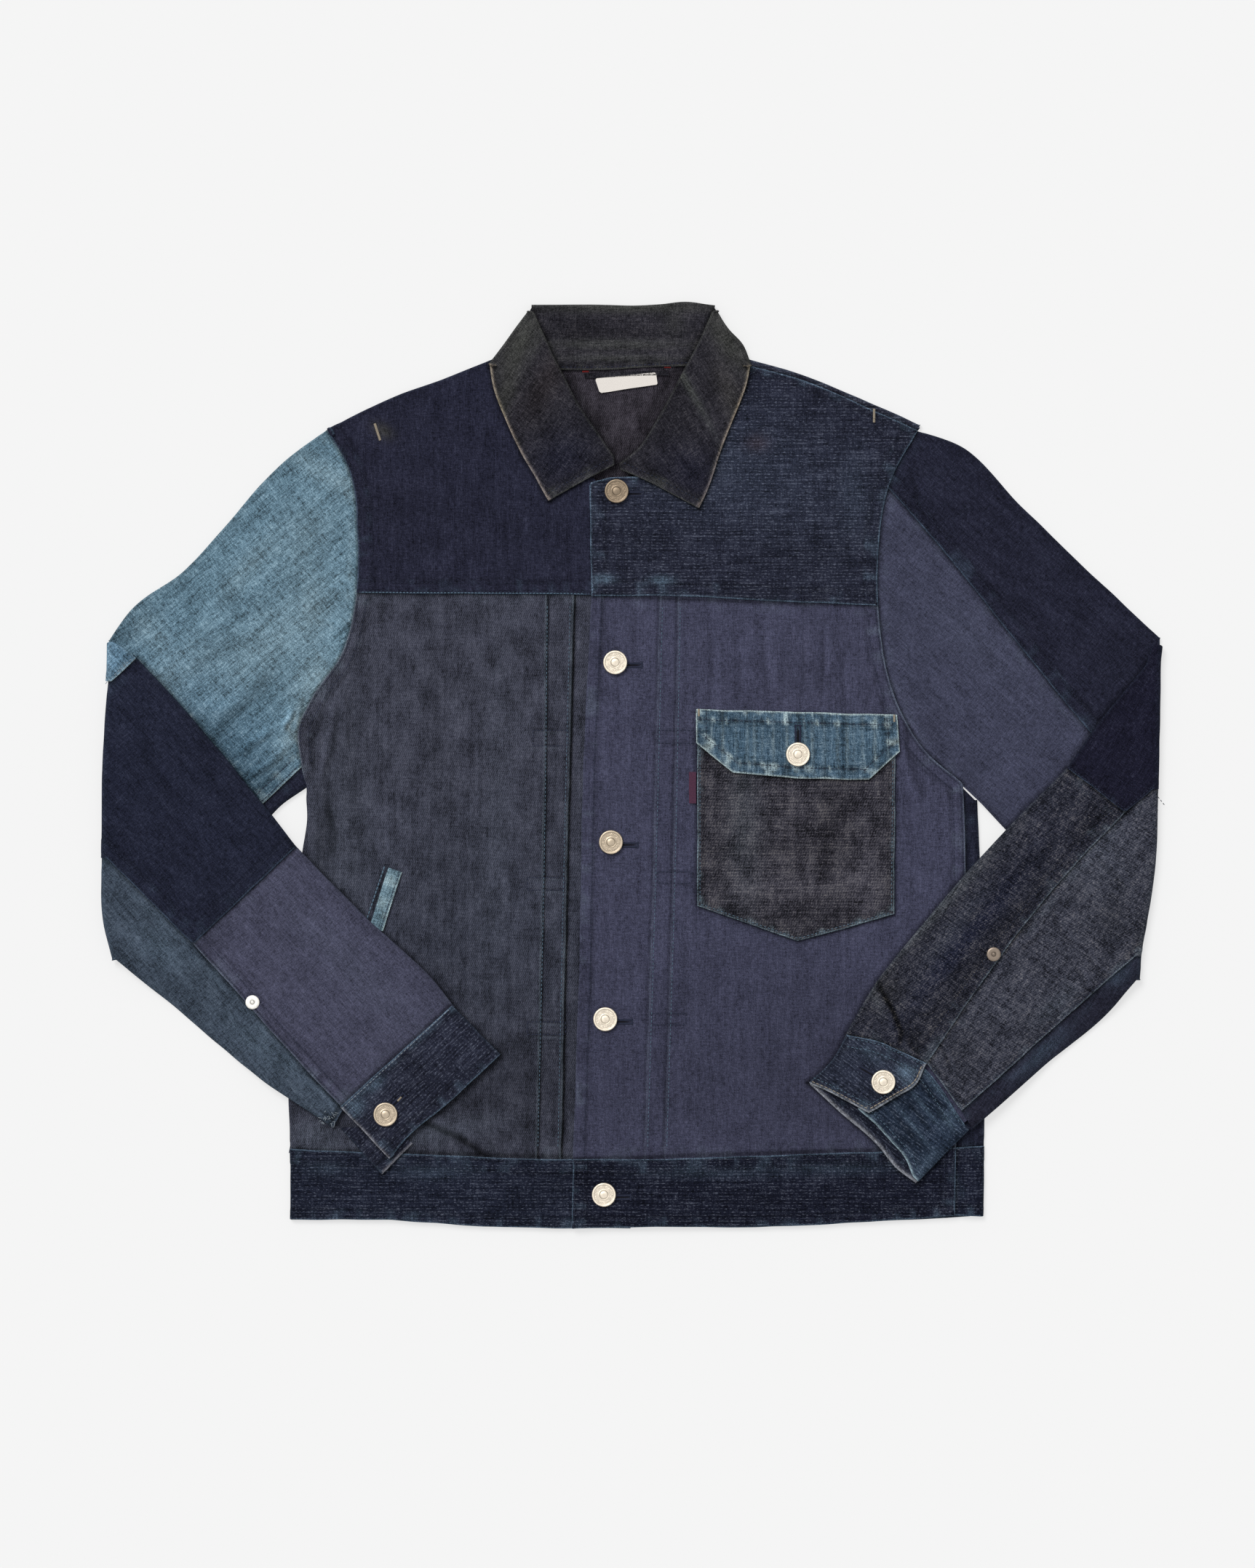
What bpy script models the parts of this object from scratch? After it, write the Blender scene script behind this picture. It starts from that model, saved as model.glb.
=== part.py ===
"""Patchwork denim jacket, buttoned and laid flat on its back with both sleeves folded over its front.

Every cut piece is a cloth wall of its own.  The cloth lies in layers: the back pieces on the floor, the
fronts and upper sleeves on them, the forearms folded over those, then collar, pockets, cuffs and
buttons.  Drafting values are millimetres: X towards the wearer's left, Y towards the collar, Z up.
"""
import bpy
import numpy as np
from math import pi

MM = 0.001
WALL = 1.0            # one layer of denim
BAND_WALL = 1.2       # doubled cloth: cuffs and waistband
SEAM = 0.5            # cloth stays this far apart where two pieces are sewn edge to edge
CLEAR = 0.4           # air between a piece and the piece that lies on it
EDGE_RISE = 3.4       # height of the upper layer where it rolls down to the floor
SWELL = 0.8           # how much higher it stands away from its edges
SWELL_REACH = 50.0
FOREARM_REST = 5.0    # height of the folded forearm's lower face on the body and upper sleeve
FOREARM_DROP = 60.0   # width over which it sinks to the floor beside them
FOREARM_SWELL = 0.5
PLACKET_LIFT = 0.8    # the left front lies this much higher where it covers the right front
PLEAT_LIFT = 0.9
PLEAT_STEP = 1.6      # width in which a pleat drops off at its folded edge
CUFF_RISE = 4.0       # both walls of a flattened cuff
LIP = 4.0             # cloth that runs on under a rolled edge
FINE = 241            # samples along a drafted line

# Drafted lines of the laid-out jacket: smooth lines through a few (x, y) places.  "r" is the wearer's
# right (-X), "l" the wearer's left.
LINES = {
    # shoulders, neck, armholes and sides
    "shoulder_r": ((-215, 237), (-170, 259), (-131, 273), (-92, 289)),
    "shoulder_l": ((80, 288), (123, 275), (176, 253), (205, 240)),
    "shoulder_seam_l": ((80, 283), (123, 271), (174, 249), (203, 236)),
    "neck_r": ((-92, 289), (-76, 262), (-52, 226), (-27, 203)),
    "neck_l": ((80, 283), (66, 262), (40, 224), (12, 204)),
    "armhole_r": ((-215, 237), (-199, 208), (-193, 160), (-194, 121), (-203, 81), (-226, 46),
                  (-235, 26), (-233, -2)),
    "armhole_l": ((203, 236), (183, 198), (175, 150), (175, 112), (179, 76), (190, 39), (207, 11),
                  (235, -14)),
    "side_r": ((-230, -18), (-229, -40), (-232, -61), (-238, -154), (-242, -238), (-241, -272)),
    "side_seam_r": ((-220, -16), (-222, -40), (-225, -61), (-231, -154), (-235, -238), (-234, -272)),
    "side_l": ((245, -24), (246, -50), (249, -110), (250, -220), (250, -270)),
    "side_seam_l": ((235, -14), (237, -77), (233, -180), (230, -271)),
    # front edges and pleats
    "placket": ((-28, 119), (-33, 15), (-37, -159), (-41, -279)),
    "under_front": ((14, 120), (10, 15), (5, -159), (0, -279)),
    "pleat_outer_r": ((-60, 120), (-62, -50), (-67, -279)),
    "pleat_edge_r": ((-41, 120), (-46, -90), (-50, -279)),
    "pleat_edge_l": ((21, 119), (16, -80), (10, -279)),
    "pleat_outer_l": ((34, 119), (30, -80), (24, -279)),
    "hem_l": ((-42, -328), (17, -327), (97, -327), (160, -324), (229, -319)),
    # right sleeve, worn side
    "over_r": ((-369, 88), (-355, 108), (-316, 137), (-282, 174), (-252, 208), (-215, 237)),
    "under_seam_r": ((-369, -122), (-259, -27), (-233, -2)),
    "under_r": ((-366, -136), (-262, -45), (-247, -29), (-230, -17)),
    # right sleeve past the fold: its back lies up
    "turn_fold_r": ((-370, 82), (-370, 54)),
    "turn_over_r": ((-359, 83), (-349, 75)),
    "elbow_fold_r": ((-370, 54), (-373, 8), (-374, -62)),
    "elbow_over_r": ((-349, 75), (-318, 42), (-263, -24), (-236, -58)),
    "lower_over_r": ((-236, -58), (-186, -109), (-139, -153), (-126, -169)),
    "fore_over_r": ((-364, 87), (-349, 75), (-318, 42), (-263, -24), (-236, -58), (-186, -109),
                    (-139, -153), (-126, -169)),
    "back_seam_r": ((-309, -127), (-271, -169), (-226, -219), (-205, -241)),
    "fore_fold_r": ((-374, -62), (-373, -110), (-367, -135)),
    "under_fore_r": ((-367, -135), (-327, -168), (-263, -221), (-213, -255)),
    # left sleeve, worn side
    "over_l": ((203, 236), (232, 226), (277, 182), (335, 126), (375, 88)),
    "front_seam_l": ((182, 195), (208, 166), (268, 92), (325, 22), (373, -36)),
    "under_l": ((235, -14), (265, -46), (356, -141)),
    "fold_over_l": ((375, 88), (375, 30), (373, -36)),
    "fold_front_l": ((373, -36), (369, -85), (361, -131), (356, -141)),
    # left sleeve past the fold
    "elbow_over_l": ((366, 73), (325, 22), (308, -3)),
    "elbow_fold_l": ((375, 74), (374, 30), (373, -14)),
    "fore_over_l": ((308, -3), (265, -46), (202, -118), (174, -153), (152, -190)),
    "full_over_l": ((152, -190), (174, -153), (202, -118), (265, -46), (308, -3), (325, 22), (369, 78)),
    "fore_seam_l": ((349, -34), (308, -77), (250, -151), (209, -211)),
    "fore_fold_l": ((373, -14), (370, -80), (361, -131)),
    "under_fore_l": ((241, -258), (295, -211), (333, -180), (360, -149)),
    # collar
    "leaf_roll_r": ((-70, 324), (-62, 306), (-52, 284), (-39, 259), (-25, 237), (-11, 217)),
    "leaf_free_r": ((-100, 284), (-97, 266), (-89, 245), (-78, 221), (-68, 203), (-58, 186)),
    "leaf_side_r": ((-100, 284), (-86, 302), (-76, 316), (-70, 324)),
    "leaf_front_r": ((-58, 186), (-44, 194), (-28, 203), (-11, 212)),
    "leaf_roll_l": ((59, 324), (50, 303), (41, 286), (31, 266), (18, 243), (5, 223), (-9, 212)),
    "leaf_free_l": ((85, 284), (82, 269), (73, 245), (62, 216), (56, 198), (48, 181)),
    "leaf_side_l": ((59, 324), (69, 308), (80, 296), (85, 284)),
    "leaf_front_l": ((-9, 209), (12, 200), (31, 190), (48, 181)),
    "collar_top": ((-69, 325), (-35, 325), (17, 325), (44, 327), (58, 325)),
    "neck_seam": ((-49, 279), (-20, 279), (17, 281), (38, 282)),
    "stand_r": ((-69, 325), (-61, 306), (-49, 279)),
    "stand_l": ((58, 325), (49, 303), (38, 282)),
    # cuffs
    "cuff_mouth_r": ((-170, -279), (-158, -264), (-131, -241), (-92, -205)),
    "cuff_seam_l": ((152, -191), (176, -196), (192, -203), (209, -211)),
    "cuff_fold_l": ((152, -191), (142, -209), (125, -225)),
    "cuff_mouth_l": ((125, -225), (139, -231), (155, -239), (168, -246)),
    "cuff_lap_l": ((208, -212), (202, -225), (187, -235), (168, -246)),
    "cuff_under_seam_l": ((190, -205), (207, -214), (219, -229), (230, -246), (235, -254)),
    "cuff_under_mouth_l": ((160, -243), (174, -256), (184, -267), (194, -279), (199, -291)),
    "cuff_rear_mouth_l": ((125, -225), (150, -248), (174, -269), (187, -285), (203, -297)),
}
BUTTONS = (            # name, x, y: tack buttons
    ("button_front_1", -10, 193), ("button_front_2", -11, 72), ("button_front_3", -14, -55),
    ("button_front_4", -18, -180), ("button_front_5", -19, -304), ("button_flap", 118, 7),
    ("cuff_button_right", -173, -247), ("cuff_button_left", 178, -224),
)
RIVETS = (("sleeve_rivet_right", -267, -168), ("sleeve_rivet_left", 256, -134))
BUTTON_PROFILE = ((0.0, 2.6), (4.6, 2.3), (5.4, 2.6), (7.8, 2.4), (8.5, 1.7), (7.6, 0.9), (3.5, 0.7),
                  (3.5, 0.0), (0.0, 0.0))
RIVET_PROFILE = ((0.0, 1.4), (2.4, 1.2), (4.4, 1.1), (5.0, 0.5), (4.6, 0.0), (0.0, 0.0))

DENIM = {              # base colour (linear) of each cloth
    "navy": (0.012, 0.014, 0.034), "slub": (0.020, 0.024, 0.050), "charcoal": (0.026, 0.030, 0.040),
    "slate": (0.045, 0.046, 0.080), "sky": (0.130, 0.230, 0.300), "teal": (0.035, 0.055, 0.070),
    "black": (0.018, 0.018, 0.020), "white": (0.800, 0.780, 0.740),
}
METAL = (0.62, 0.60, 0.55)

for old in list(bpy.data.objects):
    bpy.data.objects.remove(old)
collection = bpy.data.collections.new("patchwork_jacket")
bpy.context.scene.collection.children.link(collection)


# ---- drafting ---------------------------------------------------------------------------------------
SIDES = ("top", "right", "bottom", "left")


def ease(x):
    """Smooth step from 0 at x = 0 to 1 at x = 1."""
    x = np.clip(x, 0.0, 1.0)
    return x * x * (3.0 - 2.0 * x)


def spread(line, count=FINE):
    """The same line with equally spaced samples."""
    knots = np.concatenate([[0.0], np.cumsum(np.linalg.norm(np.diff(line, axis=0), axis=1))])
    where = np.linspace(0.0, knots[-1], count)
    return np.stack([np.interp(where, knots, line[:, k]) for k in (0, 1)], axis=1)


def smooth(name):
    """Samples of a drafted line: a cubic through its places."""
    p = np.array(LINES[name], float)
    knots = np.concatenate([[0.0], np.cumsum(np.linalg.norm(np.diff(p, axis=0), axis=1))])
    where = np.linspace(0.0, knots[-1], FINE)
    slope = np.gradient(p, knots, axis=0)
    i = np.clip(np.searchsorted(knots, where, side="right") - 1, 0, len(p) - 2)
    step = (knots[i + 1] - knots[i])[:, None]
    f = (where - knots[i])[:, None] / step
    return ((1 + 2 * f) * (1 - f) ** 2 * p[i] + f * f * (3 - 2 * f) * p[i + 1]
            + step * (f * (1 - f) ** 2 * slope[i] - f * f * (1 - f) * slope[i + 1]))


def straight(*places):
    """Samples of a line with corners at the places given."""
    return spread(np.array(places, float))


def joined(*lines):
    """Sampled lines run end to end as one."""
    return spread(np.concatenate(lines))


def between(name, y_from, y_to):
    """The stretch of a drafted line between two heights y."""
    line = smooth(name)
    low, high = min(y_from, y_to), max(y_from, y_to)
    kept = line[(line[:, 1] >= low) & (line[:, 1] <= high)]
    return spread(kept if (kept[0, 1] > kept[-1, 1]) == (y_from > y_to) else kept[::-1])


def at(line, t):
    """Places at fractions t along a sampled line."""
    f = np.linspace(0.0, 1.0, len(line))
    return np.stack([np.interp(t, f, line[:, k]) for k in (0, 1)], axis=1)


def nearest(line, place):
    """Number of the sample nearest to a place."""
    return int(np.argmin(((line - np.array(place, float)) ** 2).sum(axis=1)))


def trimmed(line, first, last):
    """A sampled line cut to end at two places near it."""
    kept = line[nearest(line, first):nearest(line, last) + 1].copy()
    kept[0], kept[-1] = first, last
    return spread(kept)


def outward(line, side):
    """Unit normals along one of a piece's four sides, pointing out of the piece."""
    tangent = np.gradient(line, axis=0)
    turn = 1.0 if side in ("top", "right") else -1.0
    normal = turn * np.stack([-tangent[:, 1], tangent[:, 0]], axis=1)
    return normal / np.linalg.norm(normal, axis=1)[:, None]


def inset_sides(sides, insets):
    """Four sampled sides (top, right, bottom, left) moved inward, meeting again at their corners."""
    normals = [outward(line, side) for line, side in zip(sides, SIDES)]
    (top, right, bottom, left), (nt, nr, nb, nl), (it, ir, ib, il) = sides, normals, insets

    def corner(place, normal_a, inset_a, normal_b, inset_b):
        """Where two sides cross when both have moved in; halfway between them if they run in line."""
        return place - np.linalg.pinv(np.array([normal_a, normal_b]), 0.3) @ np.array([inset_a, inset_b])

    tl = corner(top[0], nt[0], it, nl[0], il)
    tr = corner(top[-1], nt[-1], it, nr[0], ir)
    bl = corner(bottom[0], nb[0], ib, nl[-1], il)
    br = corner(bottom[-1], nb[-1], ib, nr[-1], ir)
    ends = ((tl, tr), (tr, br), (bl, br), (tl, bl))
    return [trimmed(side - normal * inset, first, last)
            for side, normal, inset, (first, last) in zip(sides, normals, insets, ends)]


def span(sides, u, v):
    """Places inside four sampled sides: u runs left to right and v from top to bottom."""
    top, right, bottom, left = sides
    t, b, l, r = at(top, u)[None], at(bottom, u)[None], at(left, v)[:, None], at(right, v)[:, None]
    uu, vv = u[None, :, None], v[:, None, None]
    flat = ((1 - uu) * (1 - vv) * top[0] + uu * (1 - vv) * top[-1]
            + (1 - uu) * vv * bottom[0] + uu * vv * bottom[-1])
    return (1 - vv) * t + vv * b + (1 - uu) * l + uu * r - flat


# ---- heights of the layers --------------------------------------------------------------------------
def distance(x, y, *names):
    """Distance from places to the nearest of the named lines."""
    places = np.stack([x, y], axis=-1)[..., None, :]
    line = np.concatenate([smooth(name)[::4] for name in names])
    return np.sqrt(((places - line) ** 2).sum(axis=-1)).min(axis=-1)


def line_x(name, y):
    """Where a line that runs down the front crosses the height y."""
    line = smooth(name)[::-1]
    return np.interp(y, line[:, 1], line[:, 0])


def front_top(x, y):
    """Upper face of the fronts and upper sleeves: low where they roll down, a little fuller inside."""
    gap = distance(x, y, "shoulder_r", "shoulder_l", "over_r", "over_l", "side_r", "side_l", "under_r",
                   "under_l")
    return EDGE_RISE + SWELL * ease(gap / SWELL_REACH)


def pleat(x, y, outer, edge):
    """How high a pleat stands: rising from its outer line to its folded edge, then dropping off."""
    outer, edge = line_x(outer, y), line_x(edge, y)
    rise = ease((x - outer) / (edge - outer))
    drop = np.clip(1.0 - (x - edge) * np.sign(edge - outer) / PLEAT_STEP, 0.0, 1.0)
    return PLEAT_LIFT * rise * drop * ((y < 119.9) & (y > -278.6))


def right_front_top(x, y):
    """The right front sinks where the placket covers it, and has a pleat beside it."""
    low = ease((line_x("placket", y) - 4.0 - x) / 8.0)
    top = EDGE_RISE + (front_top(x, y) - EDGE_RISE) * low
    return top + pleat(x, y, "pleat_outer_r", "pleat_edge_r")


def left_front_top(x, y):
    """The left front lies over the right one, and its pleat runs beside the placket."""
    lift = PLACKET_LIFT * (1.0 - ease((x - line_x("pleat_outer_l", y)) / 50.0))
    return front_top(x, y) + lift + pleat(x, y, "pleat_outer_l", "pleat_edge_l")


def forearm_rest(x, y):
    """Lower face of the folded forearms: on the body and the upper sleeve, and on the floor beside."""
    beside = np.zeros_like(x)
    for sign, arm, body in ((1.0, "under_r", "side_r"), (-1.0, "under_l", "side_l")):
        line = smooth(arm)
        near, far = (line[-1], line[0]) if sign > 0 else (line[0], line[-1])
        along = (far - near) / np.linalg.norm(far - near)
        below = sign * ((x - near[0]) * along[1] - (y - near[1]) * along[0])
        off_body = sign * (line_x(body, np.clip(y, -270.0, -26.0)) - x)
        gap = np.minimum(np.maximum(-below, 0.0), np.maximum(off_body, 0.0))
        beside = np.where(np.sign(x) == -sign, gap, beside)
    return FOREARM_REST * ease(1.0 - beside / FOREARM_DROP)


def forearm_top(x, y):
    """Upper face of the folded forearms."""
    gap = distance(x, y, "elbow_over_r", "lower_over_r", "under_fore_r", "elbow_over_l", "fore_over_l",
                   "under_fore_l")
    return forearm_rest(x, y) + EDGE_RISE + FOREARM_SWELL * ease(gap / SWELL_REACH)


def cuff_top(x, y):
    return forearm_rest(x, y) + CUFF_RISE


def lap_top(x, y):
    """The left cuff's buttonhole end climbs over its button end."""
    along = 0.79 * (x - 152.0) - 0.61 * (y + 191.0)
    return cuff_top(x, y) + 1.2 * ease((along - 6.0) / 24.0)


def level(height):
    """A flat face at one height."""
    return lambda x, y: np.full_like(x, height)


def over(surface, wall=WALL, gap=CLEAR):
    """Upper face of a piece that lies on a surface."""
    return lambda x, y: surface(x, y) + gap + wall


# ---- making cloth -----------------------------------------------------------------------------------
def fractions(cells, line):
    """Even steps along a line; cells (n, corner, m) puts n steps before its corner and m after it."""
    if isinstance(cells, int):
        return np.linspace(0.0, 1.0, cells + 1)
    before, corner, after = cells
    f = nearest(line, corner) / (len(line) - 1)
    return np.concatenate([np.linspace(0.0, f, before + 1), np.linspace(f, 1.0, after + 1)[1:]])


def rungs(steps, rolls):
    """Rungs of a grid in one direction: fraction, roll angle, lip length and side of each."""
    rows = [(f, 0.0, 0.0, 0) for f in steps]
    for side, roll in zip((-1, 1), rolls):
        if roll is None:
            continue
        end = 0.0 if side < 0 else 1.0
        _, lip, steps = roll
        turn = [(end, pi * k / steps, 0.0, side) for k in range(1, steps + 1)]
        if lip:
            turn.append((end, pi, lip, side))
        rows = turn[::-1] + rows if side < 0 else rows + turn
    return [np.array(column) for column in zip(*rows)]


def rolled_grid(sides, cells, rise, rolls, insets):
    """Grid of places, heights and roll depths, in mm, of a piece's outer face with its rolled edges."""
    inner = []
    for name, side in zip(SIDES, sides):
        inset = SEAM / 2
        if name in rolls:
            inset = rolls[name][0] or float(rise(side[:, 0], side[:, 1]).mean()) / 2
        inner.append(insets.get(name, inset))
    sides = inset_sides(sides, inner)
    u, au, lu, su = rungs(fractions(cells[0], sides[2]), (rolls.get("left"), rolls.get("right")))
    v, av, lv, sv = rungs(fractions(cells[1], sides[3]), (rolls.get("top"), rolls.get("bottom")))
    base = span(sides, u, v)
    top = rise(base[..., 0], base[..., 1])
    ru, rv, nu, nv = np.ones_like(top), np.ones_like(top), np.zeros_like(base), np.zeros_like(base)
    for sign, name, side in ((-1, "left", sides[3]), (1, "right", sides[1])):
        if name in rolls:
            here = (su == sign)[None, :]
            ru = np.where(here, rolls[name][0] or top / 2, ru)
            nu = np.where(here[..., None], at(outward(side, name), v)[:, None], nu)
    for sign, name, side in ((-1, "top", sides[0]), (1, "bottom", sides[2])):
        if name in rolls:
            here = (sv == sign)[:, None]
            rv = np.where(here, rolls[name][0] or top / 2, rv)
            nv = np.where(here[..., None], at(outward(side, name), u)[None], nv)
    av, au, lv, lu = av[:, None], au[None], lv[:, None], lu[None]
    depth = rv * (1 - np.cos(av))
    place = base + nv * (rv * np.sin(av) - lv)[..., None]
    place = place + nu * ((ru - depth) * np.sin(au) - lu)[..., None]
    return place, top, np.where(au > 0, ru - (ru - depth) * np.cos(au), depth)


def material(name, colour, roughness=0.9, metallic=0.0):
    made = bpy.data.materials.get(name) or bpy.data.materials.new(name)
    made.use_nodes = True
    shader = made.node_tree.nodes["Principled BSDF"]
    shader.inputs["Base Color"].default_value = (*colour, 1.0)
    shader.inputs["Roughness"].default_value = roughness
    shader.inputs["Metallic"].default_value = metallic
    return made


def wall_piece(name, denim, place, height, wall, face_down=False):
    """A grid of places and heights as an open surface, with Solidify making it a wall."""
    rows, cols = height.shape
    points = np.concatenate([place, height[..., None]], axis=2).reshape(-1, 3) * MM
    faces = []
    for i in range(rows - 1):
        for j in range(cols - 1):
            a = i * cols + j
            quad = (a, a + cols, a + cols + 1, a + 1)
            faces.append(quad[::-1] if face_down else quad)
    mesh = bpy.data.meshes.new(name)
    mesh.from_pydata([tuple(point) for point in points], [], faces)
    mesh.materials.append(material("denim_" + denim, DENIM[denim]))
    piece = bpy.data.objects.new(name, mesh)
    collection.objects.link(piece)
    shell = piece.modifiers.new("wall", "SOLIDIFY")
    shell.thickness = wall * MM
    shell.offset = -1.0
    shell.use_even_offset = True
    return piece


def cloth(name, denim, sides, cells, rise, rolls=None, insets=None, wall=WALL, face_down=False):
    """A cut piece inside four sides (top, right, bottom, left).

    rolls names the sides whose edge turns under, as (radius, lip length, steps), with no radius where the
    edge rolls down to the floor.  rise(x, y) is the height of the outer face, which looks down if face_down.
    """
    place, top, depth = rolled_grid(sides, cells, rise, rolls or {}, insets or {})
    return wall_piece(name, denim, place, top + depth if face_down else top - depth, wall, face_down)


def lofted(name, denim, rails, cells, rows, rise, wall=WALL):
    """A piece lofted across lines that run down it, with a few cells between each two of them."""
    v = np.linspace(0.0, 1.0, rows + 1)
    rails = [at(rail, v) for rail in rails]
    rails[0][:, 0] += SEAM / 2
    rails[-1][:, 0] -= SEAM / 2
    columns = [rails[0]]
    for a, b, count in zip(rails, rails[1:], cells):
        columns += [a + (b - a) * k / count for k in range(1, count + 1)]
    place = np.stack(columns, axis=1)
    place[0, :, 1] -= SEAM / 2
    place[-1, :, 1] += SEAM / 2
    return wall_piece(name, denim, place, rise(place[..., 0], place[..., 1]), wall)


def beside(name, step):
    """A drafted line moved sideways."""
    return smooth(name) + np.array([step, 0.0])


TO_FLOOR = (None, LIP, 3)
FOLD = (None, 0.0, 5)
TUBE = (EDGE_RISE / 2, LIP, 3)
PAST_LIP = EDGE_RISE / 2 + LIP + SEAM        # a wall between two rolled edges stays this far inside them
PAST_FOLD = FOREARM_REST + 1.4               # what lies inside a fold stays this far from it


# ---- body -------------------------------------------------------------------------------------------
YOKE_SEAM_R = ((-194, 121), (-60, 120), (14, 120))
YOKE_SEAM_L = ((-28, 119), (30, 119), (175, 112))
WAIST_R = ((-234, -272), (-67, -279), (0, -279))
WAIST_L = ((-41, -279), (24, -279), (174, -274), (230, -271))


def backs():
    """Back pieces, flat on the floor and seen only through the neck; the right side rolls up in front."""
    far = 240.0
    cloth("back_yoke", "charcoal",
          (straight((-205, 230), (-90, 279), (-60, 279), (44, 281), (78, 278), (194, 230)),
           straight((194, 230), (178, 196), (171, 150)), straight((-192, 150), (171, 150)),
           straight((-205, 230), (-195.4, 200), (-192, 150))), (8, 3), level(0.0), face_down=True)
    cloth("back_body", "navy",
          (straight((-230, -18), (-221, -10), (-216, 45), (-193, 80), (-186, 150), (171, 150), (171, 112),
                    (174, 76), (184, 40), (200, 11), (222, -14), (236, -28)),
           straight((236, -28), (240, -80), (far, -271)), straight((-241, -272), (far, -271)),
           smooth("side_r")), (12, 7), level(0.0), {"left": TUBE}, face_down=True)
    cloth("back_waistband", "slub",
          (straight((-241, -272), (far, -271)), straight((far, -271), (far, -320)),
           straight((-241, -322), (-170, -322), (-100, -327), (97, -327), (far, -320)),
           straight((-241, -272), (-241, -322))), (7, 2), level(0.0), {"left": TUBE}, wall=BAND_WALL,
          face_down=True)


def fronts():
    """Yokes, fronts with their pleats, and the side strip."""
    cloth("front_yoke_right", "navy",
          (smooth("shoulder_r"), joined(smooth("neck_r"), straight((-20, 198), (14, 196), (14, 120))),
           straight(*YOKE_SEAM_R), between("armhole_r", 237, 121)), (7, 7), right_front_top,
          {"top": TO_FLOOR})
    cloth("front_yoke_left", "slub",
          (smooth("shoulder_seam_l"), between("armhole_l", 236, 112), straight(*YOKE_SEAM_L),
           joined(smooth("neck_l"), straight((-15, 203), (-29, 199), (-28, 119)))), (7, 7), left_front_top)
    cloth("shoulder_strip_left", "slub",
          (smooth("shoulder_l"), straight((205, 240), (203, 236)), smooth("shoulder_seam_l"),
           straight((80, 288), (80, 283))), (7, 1), left_front_top, {"top": TO_FLOOR}, {"bottom": 0.7})
    lofted("front_panel_right", "charcoal",
           (joined(between("armhole_r", 121, -2), smooth("side_seam_r")), smooth("pleat_outer_r"),
            smooth("pleat_edge_r"), beside("pleat_edge_r", PLEAT_STEP), smooth("under_front")),
           (5, 1, 1, 2), 18, right_front_top)
    lofted("front_panel_left", "slate",
           (smooth("placket"), beside("pleat_edge_l", -PLEAT_STEP), smooth("pleat_edge_l"),
            smooth("pleat_outer_l"), joined(between("armhole_l", 112, -14), smooth("side_seam_l"))),
           (2, 1, 1, 5), 18, left_front_top)
    cloth("side_panel_left", "navy",
          (straight((235, -14), (245, -24)), smooth("side_l"), straight((230, -271), (250, -270)),
           smooth("side_seam_l")), (1, 9), left_front_top, {"right": TO_FLOOR}, {"top": 2.2})


def waistbands():
    lofted("waistband_right", "slub",
           (straight((-234, -272), (-234, -322)), straight((-170, -275), (-170, -322)),
            straight((-105, -278), (-105, -327)), straight((-55, -279), (-55, -327)),
            straight((-44, -279), (-44, -328)), straight((0, -279), (0, -328))),
           (2, 2, 2, 1, 1), 2, right_front_top, BAND_WALL)
    cloth("waistband_left", "slub",
          (straight(*WAIST_L), straight((230, -271), (229, -319)), smooth("hem_l"),
           straight((-41, -279), (-42, -328))), (9, 2), left_front_top, wall=BAND_WALL)
    cloth("waistband_side_left", "slub",
          (straight((230, -271), (250, -270)), straight((250, -270), (249, -320)),
           straight((229, -319), (249, -320)), straight((230, -271), (229, -319))), (1, 2),
          left_front_top, {"right": TO_FLOOR}, wall=BAND_WALL)


def pockets():
    """The buttoned chest pocket with its flap and side tab, and the welt of the hand pocket."""
    pocket_top = over(left_front_top)

    def flap_top(x, y):
        on_pocket = ease((37.0 - y) / 9.0)
        return pocket_top(x, y) + (CLEAR + WALL) * on_pocket

    cloth("chest_pocket", "charcoal",
          (straight((47, 21), (187, 19)), straight((187, 19), (186, -106)),
           straight((47, -100), (118, -125), (186, -106)), straight((47, 21), (47, -100))), ((3, (118, -125), 3), 5),
          pocket_top)
    cloth("chest_pocket_flap", "sky",
          (straight((46, 39), (117, 37), (188, 35)), straight((188, 35), (190, 9)),
           straight((46, 15), (72, -6), (118, -10), (168, -11), (190, 9)), straight((46, 39), (46, 15))),
          (8, 3), flap_top)
    cloth("pocket_tab", "navy",
          (straight((41, -5), (46.5, -5)), straight((46.5, -5), (46.5, -28)),
           straight((41, -28), (46.5, -28)), straight((41, -5), (41, -28))), (1, 2), pocket_top)
    cloth("welt_right", "sky",
          (straight((-170, -74), (-162, -76)), straight((-162, -76), (-172, -110)),
           straight((-183, -107), (-172, -110)), straight((-170, -74), (-183, -107))), (1, 3),
          over(right_front_top))


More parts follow.
